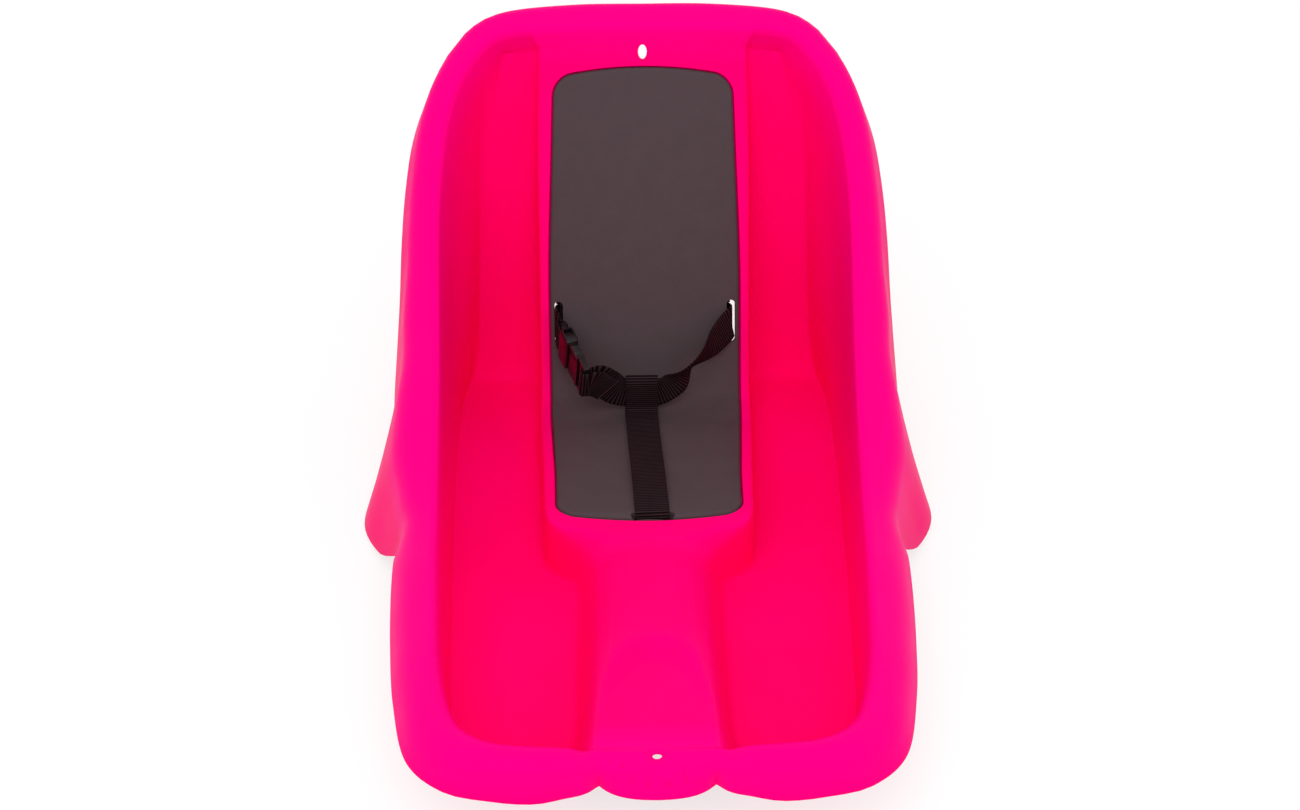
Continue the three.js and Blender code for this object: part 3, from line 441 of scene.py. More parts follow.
class SledStage(bpy.types.PropertyGroup):
    """The lights, the floor and the camera."""

    lens: FloatProperty(
        name="Lens", description="Focal length of the camera", default=59.455, unit="CAMERA"
    )
    key: power("Key", "Power of the front light", 30.0)
    side: power("Side", "Power of each side light", 5.0)
    sky: share("Sky", "Strength of the even light from all round", 0.78)
    floor: share("Floor", "Share of the floor's white that takes shadows", 0.3)


def smooth(value):
    """A smooth step from 0 to 1."""
    value = min(max(value, 0.0), 1.0)
    return value * value * (3 - 2 * value)


def mix(a, b, t):
    """A value between two others."""
    return a + (b - a) * t


def along(table, station):
    """A smooth value between the rows of a table at a station that need not be whole."""
    last = len(table) - 1
    index = min(int(station), last - 1)
    t = station - index
    rows = [table[min(max(index + step, 0), last)] for step in (-1, 0, 1, 2)]
    return [
        b + 0.5 * t * (c - a + t * (2 * a - 5 * b + 4 * c - d + t * (3 * (b - c) + d - a)))
        for a, b, c, d in zip(*rows)
    ]


def between(table, place):
    """A smooth value between table rows spaced by their first column, with no overshoot."""
    last = len(table) - 1
    index = 0
    while index < last - 1 and place > table[index + 1][0]:
        index += 1

    def rise(row, column):
        return (table[row + 1][column] - table[row][column]) / (table[row + 1][0] - table[row][0])

    def lean(row, column):
        if row == 0:
            return rise(0, column)
        if row == last:
            return rise(last - 1, column)
        before, after = rise(row - 1, column), rise(row, column)
        return 0 if before * after <= 0 else 2 * before * after / (before + after)

    step = table[index + 1][0] - table[index][0]
    t = (place - table[index][0]) / step
    turn = t * t * (3 - 2 * t)
    out = [place]
    for column in range(1, len(table[0])):
        start, end = table[index][column], table[index + 1][column]
        leave = lean(index, column) * step
        arrive = lean(index + 1, column) * step
        out.append(mix(start, end, turn) + t * (1 - t) * ((1 - t) * leave - t * arrive))
    return out


def rounded_path(corners, setbacks, leg_steps, corner_steps):
    """A path of straight legs whose inner corners are rounded, with a fixed count of points."""
    last = len(corners) - 1

    def leg(index):
        return corners[index + 1] - corners[index]

    def back(index):
        before = leg(index - 1).length * (END_SHARE if index == 1 else INNER_SHARE)
        after = leg(index).length * (END_SHARE if index == last - 1 else INNER_SHARE)
        return min(setbacks[index - 1], before, after)

    def leave(index):
        return corners[index] + leg(index).normalized() * (back(index) if index > 0 else 0)

    def arrive(index):
        return corners[index] - leg(index - 1).normalized() * (back(index) if index < last else 0)

    points = [corners[0].copy()]
    for index in range(1, last + 1):
        start, end = leave(index - 1), arrive(index)
        count = leg_steps[index - 1]
        points += [start.lerp(end, step / count) for step in range(1, count)]
        points.append(end)
        if index < last:
            count = corner_steps[index - 1]
            for step in range(1, count + 1):
                t = step / count
                first = end.lerp(corners[index], t)
                points.append(first.lerp(corners[index].lerp(leave(index), t), t))
    return points


class Body:
    """The outer surface of the moulding, from its sizes."""

    def __init__(self, sizes):
        self.half_length = sizes.long / 2
        self.half_width = sizes.wide / 2
        self.height = sizes.high
        self.wall = sizes.wall

    def floor_level(self, y):
        """Height of the well floor, turning up into the channel beside the back."""
        past = y - CHANNEL_FOOT
        if past > CHANNEL_BEND:
            return self.wall + past / CHANNEL_LEAN
        return self.wall + max(past + CHANNEL_BEND, 0) ** 2 / (4 * CHANNEL_BEND * CHANNEL_LEAN)

    def seat_height(self, y):
        """Height of the console and the seat in the middle."""
        return between(RIDGE_SHARES, y / self.half_length)[1] * self.height

    def seat_normal(self, y):
        """The direction square to the seat."""
        fall = self.seat_height(y - FIT) - self.seat_height(y + FIT)
        return Vector((0, fall, 2 * FIT)).normalized()

    def ridge_row(self, y):
        """One row of the console and seat box with the floor beside it, from the middle out."""
        _, height, top, base, foot, station = between(RIDGE_SHARES, y / self.half_length)
        z = height * self.height
        top_half = top * self.half_width
        foot_y = foot * self.half_length
        box = smooth((y - RECESS_FRONT + BOX_RUN) / BOX_RUN)
        drop = self.seat_normal(y) * (-PAD_PROUD * box)
        edge = along(EDGE_SHARES, station)
        floor_edge = Vector((edge[0] * self.half_width, edge[1] * self.half_length, 0))
        floor_edge.z = self.floor_level(floor_edge.y)
        inner = mix(CONSOLE_TOP_SHARE, BOX_INNER_SHARE, box) * top_half
        side = mix(CONSOLE_SIDE_SHARE, BOX_SIDE_SHARE, box) * top_half
        shoulder = CONSOLE_SHOULDER * (1 - box)
        corners = [
            Vector((0, y, z)) + drop,
            Vector((inner, y, z)) + drop,
            Vector((side, y, z - shoulder * CONSOLE_FALL_SHARE)) + drop,
            Vector((top_half, y, z - shoulder)) + drop,
            Vector((base * self.half_width, foot_y, self.floor_level(foot_y))),
            floor_edge,
        ]
        setbacks = (GUIDE_DRAFT, GUIDE_DRAFT, mix(CONSOLE_ROUND, RIDGE_ROUND, box), BASE_ROUND)
        points = rounded_path(corners, setbacks, ROW_LEGS, ROW_CORNERS)
        for point in points:
            above = max(ARCH_DROP - (z - point.z), 0)
            point.z -= above * self.past_arch(point.x, point.y)
        return points, station

    def past_arch(self, x, y):
        """How far a place on the console is past the arched step."""
        bend = 2 * ARCH_RUN * x / ARCH_HALF ** 2
        inside = (ARCH_APEX - y - ARCH_RUN * (x / ARCH_HALF) ** 2) / math.hypot(1, bend)
        return smooth(inside / ARCH_RAMP + 0.5)

    def rim_section(self, start, station):
        """The rim and skirt outside one point of the floor's edge."""
        row = along(EDGE_SHARES, station)
        inner = Vector((row[2] * self.half_width, row[3] * self.half_length, row[4] * self.height))
        skirt = Vector((row[5] * self.half_width, row[6] * self.half_length, row[7] * self.height))
        band = inner.lerp(skirt, row[8])
        band.z = inner.z + row[9] * self.height
        notch = 0
        if station < FRONT_CORNER + FRONT_TURN:
            notch = SCALLOP_DEPTH * math.exp(-abs(skirt.x - SCALLOP_PLACE) / SCALLOP_WIDTH)
        skirt.y += notch
        band.y += notch * SCALLOP_FADE
        sideways = smooth((station - FRONT_CORNER) / FRONT_TURN)
        to_channel = smooth((station - FRONT_CORNER) / (BACK_CORNER - FRONT_CORNER))
        side_share = mix(WELL_WALL_SHARE, CHANNEL_WALL_SHARE, to_channel)
        foot = start.lerp(inner, mix(FRONT_WALL_SHARE, side_share, smooth(station - 1)))
        foot.z = start.z
        foot.y = mix(foot.y, start.y, sideways)
        back = smooth((station - BACK_CORNER) / BACK_TURN + 1)
        foot = foot.lerp(start.lerp(inner, BACK_WALL_SHARE), back)
        floor_round = mix(FRONT_ROUND, BASE_ROUND, sideways)
        inner_round = mix(LOBE_ROUND, RIM_ROUND, sideways)
        setbacks = (mix(floor_round, CHANNEL_ROUND, to_channel), inner_round, SHOULDER_ROUND)
        return rounded_path([start, foot, inner, band, skirt], setbacks, RIM_LEGS, RIM_CORNERS)

    def station_at(self, x, start, end):
        """The edge station that lies at a distance from the centre line."""
        step = 1 if end > start else -1
        for index in range(start, end, step):
            near = EDGE_SHARES[index][0] * self.half_width
            far = EDGE_SHARES[index + step][0] * self.half_width
            if x <= far:
                return index + step * ((x - near) / (far - near))
        return end

    def row_places(self):
        """Rows along the sled, closer together where the shape turns."""
        box_front = RECESS_FRONT - BOX_RUN
        stops = (
            (RIDGE_SHARES[0][0] * self.half_length, 7),
            (ARCH_APEX - ARCH_RAMP, 6),
            (ARCH_APEX + ARCH_RAMP, 5),
            (box_front, 5),
            (RECESS_FRONT, 5),
            (RIDGE_SHARES[SEAT_TURN[0]][0] * self.half_length, 6),
            (RIDGE_SHARES[SEAT_TURN[1]][0] * self.half_length, 8),
            (RECESS_BACK, 0),
        )
        places = []
        for (start, count), (end, _) in zip(stops, stops[1:]):
            steps = max(count * ROW_FINENESS, 1)
            places += [mix(start, end, step / steps) for step in range(steps)]
        return places + [RECESS_BACK, RIDGE_SHARES[-1][0] * self.half_length]

    def surface(self):
        """Top surface of the moulding: rows inside, and rings from the floor to the skirt."""
        rows = [self.ridge_row(y) for y in self.row_places()]
        last = len(rows) - 1
        half = len(rows[0][0]) - 1
        base = half - ROW_LEGS[-1]
        nearest = self.station_at(rows[0][0][base].x, 0, FRONT_CORNER)
        for column in range(base, half + 1):
            station = mix(nearest, FRONT_CORNER, (column - base) / (half - base))
            row = along(EDGE_SHARES, station)
            rows[0][0][column] = Vector((row[0] * self.half_width, row[1] * self.half_length,
                                         self.wall))
        inside = []
        for points, _ in rows:
            left = [Vector((-p.x, p.y, p.z)) for p in reversed(points[1:])]
            inside.append(left + points)
        vertices = [point for row in inside for point in row]
        faces, around = grid_faces(last + 1, 2 * half)
        ring = [row * len(inside[0]) + column for row, column in around]
        sections = []
        for row, column in around:
            point = inside[row][column]
            start = Vector((abs(point.x), point.y, point.z))
            station = rows[row][1]
            if row == 0:
                station = self.station_at(start.x, 0, FRONT_CORNER)
            if row == last:
                station = self.station_at(start.x, len(EDGE_SHARES) - 1, BACK_CORNER)
            side = -1 if point.x < 0 else 1
            section = self.rim_section(start, station)
            sections.append([Vector((side * p.x, p.y, p.z)) for p in section])
        for level in range(1, len(sections[0])):
            first = len(vertices)
            vertices += [section[level] for section in sections]
            after = list(range(first, first + len(ring)))
            faces += band_faces(ring, after)
            ring = after
        outward = [section[-1] - section[-2] for section in sections]
        return vertices, faces, ring, outward

    def mark_rim_sheen(self, piece):
        """Stores on each point how near it is to the top of the rim, as the mask of the painted
        sheen on the rim.
        """
        vertices, _, ring, _ = self.surface()
        first = len(vertices) - len(ring) * (sum(RIM_LEGS) + sum(RIM_CORNERS))
        low, high = RIM_LEVELS
        crest = vertices[first + low * len(ring):first + high * len(ring)]
        tree = KDTree(len(crest))
        for index, point in enumerate(crest):
            tree.insert(point, index)
        tree.balance()
        mark = piece.data.attributes.new("rim", "FLOAT", "POINT")
        for vertex, value in zip(piece.data.vertices, mark.data):
            value.value = 1 - smooth((tree.find(vertex.co)[2] - RIM_SHEEN_NEAR) / RIM_SHEEN_FADE)

    def shell(self):
        """The surface with its wall below it and a rounded lip round its edge."""
        vertices, faces, ring, outward = self.surface()
        top = np.array(vertices)
        quads = np.array(faces)
        normals = np.zeros_like(top)
        across = np.cross(top[quads[:, 2]] - top[quads[:, 0]], top[quads[:, 3]] - top[quads[:, 1]])
        for corner in range(4):
            np.add.at(normals, quads[:, corner], across)
        normals /= np.linalg.norm(normals, axis=1)[:, None]
        for _ in range(NORMAL_PASSES):
            spread = normals.copy()
            for corner in range(4):
                np.add.at(spread, quads[:, corner], normals[quads[:, (corner + 1) % 4]])
            normals = spread / np.linalg.norm(spread, axis=1)[:, None]
        under = top - normals * self.wall
        points = np.vstack([top, under])
        shift = len(top)
        all_faces = both_sides(faces, shift)
        middle = (top[ring] + under[ring]) / 2
        arm = (top[ring] - under[ring]) / 2
        out = np.array([direction.normalized() for direction in outward]) * self.wall / 2
        before = ring
        for step in range(1, LIP_STEPS + 1):
            angle = math.pi * step / LIP_STEPS
            if step < LIP_STEPS:
                lip = middle + arm * math.cos(angle) + out * math.sin(angle)
                after = list(range(len(points), len(points) + len(ring)))
                points = np.vstack([points, lip])
            else:
                after = [place + shift for place in ring]
            all_faces += band_faces(before, after)
            before = after
        return points, all_faces


class Seat:
    """The seat's surface in the middle plane, measured along it from the recess's front end."""

    def __init__(self, body):
        self.y = np.linspace(RECESS_FRONT, RECESS_BACK, SEAT_STEPS + 1)
        self.z = np.array([body.seat_height(y) for y in self.y])
        legs = np.hypot(np.diff(self.y), np.diff(self.z))
        self.s = np.concatenate([[0], np.cumsum(legs)])
        self.run = float(self.s[-1])

    def tangent(self, s):
        """The direction up the seat at a distance along it."""
        step = 2 * self.run / SEAT_STEPS
        low, high = max(s - step, 0), min(s + step, self.run)
        y = np.interp([low, high], self.s, self.y)
        z = np.interp([low, high], self.s, self.z)
        return Vector((0, y[1] - y[0], z[1] - z[0])).normalized()

    def on(self, x, s, lift):
        """A point on the seat: x across, s along it, lift above it."""
        near = min(max(s, 0), self.run)
        t = self.tangent(near)
        y = float(np.interp(near, self.s, self.y)) + t.y * (s - near)
        z = float(np.interp(near, self.s, self.z)) + t.z * (s - near)
        return Vector((x, y - t.z * lift, z + t.y * lift))

    def at_y(self, y):
        """The distance along the seat at which it reaches a place along the sled."""
        return float(np.interp(y, self.y, self.s))

    def at_z(self, z):
        """The distance along the seat at which its back reaches a height."""
        low = int(np.argmin(self.z))
        return float(np.interp(z, self.z[low:], self.s[low:]))

    def frame(self, x, s):
        """A frame whose Y runs up the seat and whose Z stands off it."""
        t = self.tangent(s)
        axes = Matrix(((1, 0, 0), (0, t.y, -t.z), (0, t.z, t.y))).to_4x4()
        return Matrix.Translation(self.on(x, s, 0)) @ axes


class PadForm:
    """The pad's outline on the seat, grown all round by a gap."""

    def __init__(self, layout, grow=0.0):
        self.body, self.seat, self.grow = layout.body, layout.seat, grow
        self.corner = PAD_CORNER + grow
        self.start = PAD_GAP - grow
        self.end = self.seat.run - self.start
        turns = [1 - math.cos(math.pi / 2 * step / PAD_CORNER_STEPS)
                 for step in range(PAD_CORNER_STEPS + 1)]
        inner = int((self.end - self.start - 2 * self.corner) / PAD_ROW)
        self.places = [self.start + turn * self.corner for turn in turns]
        self.places += [mix(self.start + self.corner, self.end - self.corner, step / inner)
                        for step in range(1, inner)]
        self.places += [self.end - turn * self.corner for turn in reversed(turns)]
        self.across = [2 * column / PAD_COLUMNS - 1 for column in range(PAD_COLUMNS + 1)]

    def spot(self, s, across, lift, inset=0.0, crown=0.0):
        """A point of the form: s along the seat, across from -1 to 1, lift above the seat."""
        y = self.seat.on(0, s, 0).y
        wide = between(PAD_SHARES, y / self.body.half_length)[1] * self.body.half_width + self.grow
        round_off = max(self.corner - min(s - self.start, self.end - s), 0)
        half = wide - self.corner + math.sqrt(max(self.corner ** 2 - round_off ** 2, 0))
        x = across * (half - inset)
        bow = PAD_BOW * smooth(1 - 3 * s / self.seat.run)
        arch = PAD_ARCH * smooth(2 * s / self.seat.run - 1)
        front = max(1 - (s - self.start) / self.corner, 0)
        back = max(1 - (self.end - s) / self.corner, 0)
        edge = (1 - across ** 6) * (1 - max(front, back) ** 3)
        shift = inset * (front - back) + (bow - arch) * (x / wide) ** 2
        return self.seat.on(x, s + shift, lift + crown * edge)

    def solid(self, name, upper, lower):
        """The form between two lifts, as an object."""
        points = []
        for s in self.places:
            points += [self.spot(s, place, upper) for place in self.across]
            points += [self.spot(s, -place, lower) for place in self.across]
        count = 2 * len(self.across)
        faces = wall_faces(len(self.places), count)
        for first in (0, len(points) - count):
            end = first + count - 1
            faces += [(first + c, first + c + 1, end - 1 - c, end - c) for c in range(PAD_COLUMNS)]
        return new_object(name, points, faces)


class Layout:
    """Where the slots, the anchors and the buckle stand, from the sizes."""

    def __init__(self, context):
        sizes = context.scene.sled_body
        web = context.scene.sled_harness
        self.body = Body(sizes)
        self.seat = Seat(self.body)
        self.pad = sizes.pad
        self.width = web.width
        self.webbing = web.thickness
        ends = [self.seat.at_z(SLOT_HEIGHT + shift) for shift in (-RECESS_DEPTH, RECESS_DEPTH)]
        slot = sum(ends) / 2
        self.left = self.seat.frame(-SLOT_PLACE, slot)
        self.right = self.seat.frame(SLOT_PLACE, slot)
        self.crotch = self.seat.frame(CROTCH_PLACE, CROTCH_INSET)
        self.left_across = LEFT_STRAP_PLACE + SLOT_PLACE
        self.right_across = RIGHT_STRAP_PLACE - SLOT_PLACE
        self.fold = ANCHOR_RADIUS + FIT + self.webbing / 2
        self.anchor_lift = -(RECESS_DEPTH + sizes.wall + 2 * FIT + self.fold + self.webbing / 2)
        self.crotch_turned = self.crotch @ Matrix.Rotation(-math.pi / 2, 4, "Z")
        self.anchors = {
            "left": self.anchor_frame(self.left, self.left_across, -1),
            "right": self.anchor_frame(self.right, self.right_across, 1),
            "crotch": self.anchor_frame(self.crotch_turned, 0, 1),
        }
        self.along_slot = (self.left.to_3x3() @ Vector((0, 1, 0))).normalized()
        start = self.through_slot(self.left, self.left_across)[-1]
        axis = (Vector(LADDER_PLACE) - start).normalized()
        upright = Vector((0, 0, 1))
        across = (upright - axis * upright.dot(axis)).normalized()
        third = axis.cross(across)
        turn = Matrix((axis, across, third)).transposed().to_4x4()
        self.buckle = Matrix.Translation(start + axis * BUCKLE_LEAD) @ turn
        self.axis = axis
        self.across = across
        self.yoke = YOKE_BAR + YOKE_SLOT
        self.body_start = SOCKET_LENGTH + MOUTH_GAP
        self.head_start = self.body_start + BODY_REACH
        self.ladder_start = self.head_start + HEAD_LENGTH
        self.ladder_end = self.ladder_start + 2 * (LADDER_SLOT + LADDER_BAR)
        self.cavity_half = BUCKLE_WIDTH / 2 - SOCKET_WALL
        self.cavity_lift = BUCKLE_THICKNESS / 2 - SOCKET_WALL
        self.opening_half = self.width / 2 + 4 * FIT
        self.web_side = YOKE_THICKNESS / 2 + FIT + self.webbing / 2 + FIT
        self.prong_place = self.cavity_half - FIT - PRONG_WIDTH / 2

    def anchor_frame(self, slot_frame, across, side):
        """The frame of an anchor; side is where the webbing leaves it."""
        shift = Matrix.Translation((across - side * self.fold, 0, self.anchor_lift))
        return slot_frame @ shift

    def through_slot(self, slot_frame, across):
        """Webbing from its sewn end up through a slot."""
        lifts = (self.anchor_lift, -RECESS_DEPTH, SLOT_LIFT)
        return [slot_frame @ Vector((across, 0, lift)) for lift in lifts]

    def round_anchor(self, anchor, side, steps=12):
        """Points round an anchor, ending where the webbing leaves it."""
        turns = [math.radians(mix(*ANCHOR_WRAP, step / steps)) for step in range(steps + 1)]
        return [
            anchor @ Vector((side * self.fold * math.cos(turn), 0, self.fold * math.sin(turn)))
            for turn in turns
        ]

    def in_buckle(self, x, z):
        """A point in the buckle's middle plane."""
        return self.buckle @ Vector((x, 0, z))

    def round_buckle(self, *places):
        """Points of the webbing in the buckle's middle plane, from pairs of x and z."""
        return [self.in_buckle(x, z) for x, z in places]


def new_object(name, points, faces, smooth_angle=40.0):
    """A mesh object from points and faces, smooth up to an angle."""
    mesh = bpy.data.meshes.new(name)
    mesh.from_pydata([tuple(p) for p in points], [], faces)
    mesh.validate()
    turned = bmesh.new()
    turned.from_mesh(mesh)
    bmesh.ops.recalc_face_normals(turned, faces=turned.faces)
    turned.to_mesh(mesh)
    turned.free()
    piece = bpy.data.objects.new(name, mesh)
    bpy.context.scene.collection.objects.link(piece)
    soften(piece, smooth_angle)
    return piece


def soften(piece, angle):
    """Smooth shading, with edges sharper than an angle kept."""
    piece.data.shade_smooth()
    piece.data.set_sharp_from_angle(angle=math.radians(angle))


def settle(piece):
    """Applies a piece's modifiers to its mesh."""
    graph = bpy.context.evaluated_depsgraph_get()
    mesh = bpy.data.meshes.new_from_object(piece.evaluated_get(graph))
    old = piece.data
    piece.modifiers.clear()
    piece.data = mesh
    mesh.name = piece.name
    bpy.data.meshes.remove(old)


def carve(piece, tools, operation="DIFFERENCE"):
    """Cuts tools from a piece, or joins them to it, and removes the tools."""
    for tool in tools:
        change = piece.modifiers.new("carve", "BOOLEAN")
        change.operation = operation
        change.solver = "MANIFOLD"
        change.object = tool
    settle(piece)
    for tool in tools:
        bpy.data.objects.remove(tool)


def bevel(piece, width, segments, angle=30.0):
    """Rounds a piece's sharp edges."""
    change = piece.modifiers.new("bevel", "BEVEL")
    change.width = width
    change.segments = segments
    change.limit_method = "ANGLE"
    change.angle_limit = math.radians(angle)
    change.use_clamp_overlap = True
    settle(piece)
    soften(piece, 50.0)
    return piece


def band_faces(before, after):
    """Faces between two closed rings of points, from the numbers of their points."""
    beside = [*range(1, len(before)), 0]
    return [(before[place], after[place], after[near], before[near])
            for place, near in enumerate(beside)]


def wall_faces(rings, sides):
    """Faces between closed rings that follow one another."""
    faces = []
    for low in range(0, (rings - 1) * sides, sides):
        for side in range(sides):
            near = (side + 1) % sides
            faces.append((low + side, low + near, low + near + sides, low + side + sides))
    return faces


def tube_faces(rings, sides):
    """Faces of a closed tube of rings."""
    last = (rings - 1) * sides
    start, end = tuple(reversed(range(sides))), tuple(range(last, last + sides))
    return [start, *wall_faces(rings, sides), end]


def grid_faces(rows, columns):
    """Faces of a grid, and the row and column of each point round its edge."""
    width = columns + 1
    faces = []
    for row in range(rows - 1):
        for first in range(row * width, row * width + columns):
            faces.append((first, first + 1, first + 1 + width, first + width))
    border = [(0, column) for column in range(columns)]
    border += [(row, columns) for row in range(rows - 1)]
    border += [(rows - 1, column) for column in range(columns, 0, -1)]
    border += [(row, 0) for row in range(rows - 1, 0, -1)]
    return faces, border


def shifted(faces, first):
    """The same faces on points that start further on."""
    return [tuple(corner + first for corner in face) for face in faces]


def both_sides(faces, first):
    """Faces, and the same faces turned over on points that start further on."""
    return faces + [tuple(reversed(face)) for face in shifted(faces, first)]


def prism(name, outline, low, high, matrix):
    """A closed solid: an outline in X and Y, drawn out along Z, in a frame."""
    points = [matrix @ Vector((x, y, z)) for z in (low, high) for x, y in outline]
    return new_object(name, points, tube_faces(2, len(outline)))


def slot_outline(width, long, steps=12):
    """A slot with round ends: its width along X, its length along Y."""
    radius = width / 2
    straight = long / 2 - radius
    outline = []
    for side in (1, -1):
        for step in range(steps + 1):
            turn = math.pi * step / steps
            outline.append((side * radius * math.cos(turn),
                            side * (straight + radius * math.sin(turn))))
    return outline


def oval_outline(width, long, steps=36):
    """An oval: its width along X, its length along Y."""
    turns = [2 * math.pi * step / steps for step in range(steps)]
    return [(math.cos(turn) * width / 2, math.sin(turn) * long / 2) for turn in turns]


def hole_tool(outline, matrix, depth=CUT_DEPTH):
    """A cutter for a hole through a wall."""
    return prism("hole_tool", outline, -depth / 2, depth / 2, matrix)


def plate(name, start, end, half, thick, corner, matrix, steps=6):
    """A flat plate along X, even to both sides, with rounded corners in plan."""
    outline = []
    far, near, side = end - corner, start + corner, half - corner
    for quarter, (x, y) in enumerate(((far, side), (near, side), (near, -side), (far, -side))):
        for step in range(steps + 1):
            turn = math.pi / 2 * (quarter + step / steps)
            outline.append((x + corner * math.cos(turn), y + corner * math.sin(turn)))
    return prism(name, outline, -thick, thick, matrix)


def block(start, end, half, thick, matrix):
    """A plain box along X, even to both sides, used as a cutter."""
    outline = ((start, -half), (end, -half), (end, half), (start, half))
    return prism("block_tool", outline, -thick, thick, matrix)


def body_tools(layout):
    """Cutters for the slots that the shell and the pad share."""
    belt = slot_outline(SLOT_WIDTH, SLOT_LENGTH)
    crotch = slot_outline(CROTCH_SLOT_WIDTH, CROTCH_SLOT_LENGTH)
    turned = layout.crotch @ Matrix.Rotation(math.pi / 2, 4, "Z")
    return [hole_tool(belt, layout.left), hole_tool(belt, layout.right), hole_tool(crotch, turned)]


def facing(place, target):
    """The turn of a camera or a lamp that looks from one place at another."""
    return (Vector(target) - Vector(place)).to_track_quat("-Z", "Y")


def camera_ray(x, y, lens):
    """Where the camera stands, and the direction of a pixel of the 1300 x 810 picture."""
    focal = lens / SENSOR * PICTURE_WIDTH
    out = Vector((x - PICTURE_WIDTH / 2, PICTURE_HEIGHT / 2 - y, -focal))
    return Vector(CAMERA_PLACE), (facing(CAMERA_PLACE, CAMERA_TARGET) @ out).normalized()


def flute(tree, start, end, lens):
    """A slim raised flute on the surface, between two pixels of the picture."""
    hits = [tree.ray_cast(*camera_ray(*pixel, lens)) for pixel in (start, end)]
    if any(hit[0] is None for hit in hits):
        raise RuntimeError("a flute misses the front lobe")
    low, high = hits[0][0], hits[1][0]
    points = []
    for step in range(FLUTE_STEPS + 1):
        t = step / FLUTE_STEPS
        spot, normal, _, _ = tree.find_nearest(low.lerp(high, t))
        across = normal.cross((high - low).normalized()).normalized()
        size = math.sqrt(max(1 - (2 * t - 1) ** 2, FLUTE_TIP_SHARE))
        for side in range(FLUTE_SIDES):
            turn = 2 * math.pi * side / FLUTE_SIDES
            points.append(spot + across * (math.cos(turn) * size * FLUTE_WIDTH / 2)
                          + normal * (math.sin(turn) * size * FLUTE_HEIGHT))
    return new_object("flute", points, tube_faces(FLUTE_STEPS + 1, FLUTE_SIDES))


def lathe(name, profile, matrix, sides=24):
    """A closed solid turned about its frame's Y axis, from (place, radius) pairs."""
    points = []
    for place, radius in profile:
        for side in range(sides):
            turn = 2 * math.pi * side / sides
            points.append(matrix @ Vector((radius * math.cos(turn), place,
                                           -radius * math.sin(turn))))
    return new_object(name, points, tube_faces(len(profile), sides))


def centripetal(points, t):
    """A point of a centripetal curve through the points, at a share of its count."""
    last = len(points) - 1
    place = t * last
    index = min(int(place), last - 1)
    weight = place - index
    b, c = points[index], points[index + 1]
    a = points[index - 1] if index > 0 else 2 * b - c
    d = points[index + 2] if index + 2 <= last else 2 * c - b
    gaps = [max(np.linalg.norm(q - p) ** 0.5, 1e-6) for p, q in ((a, b), (b, c), (c, d))]
    leave = (b - a) / gaps[0] - (c - a) / (gaps[0] + gaps[1]) + (c - b) / gaps[1]
    arrive = (c - b) / gaps[1] - (d - b) / (gaps[1] + gaps[2]) + (d - c) / gaps[2]
    leave, arrive = leave * gaps[1], arrive * gaps[1]
    return (b + leave * weight + (3 * (c - b) - 2 * leave - arrive) * weight ** 2
            + (2 * (b - c) + leave + arrive) * weight ** 3)


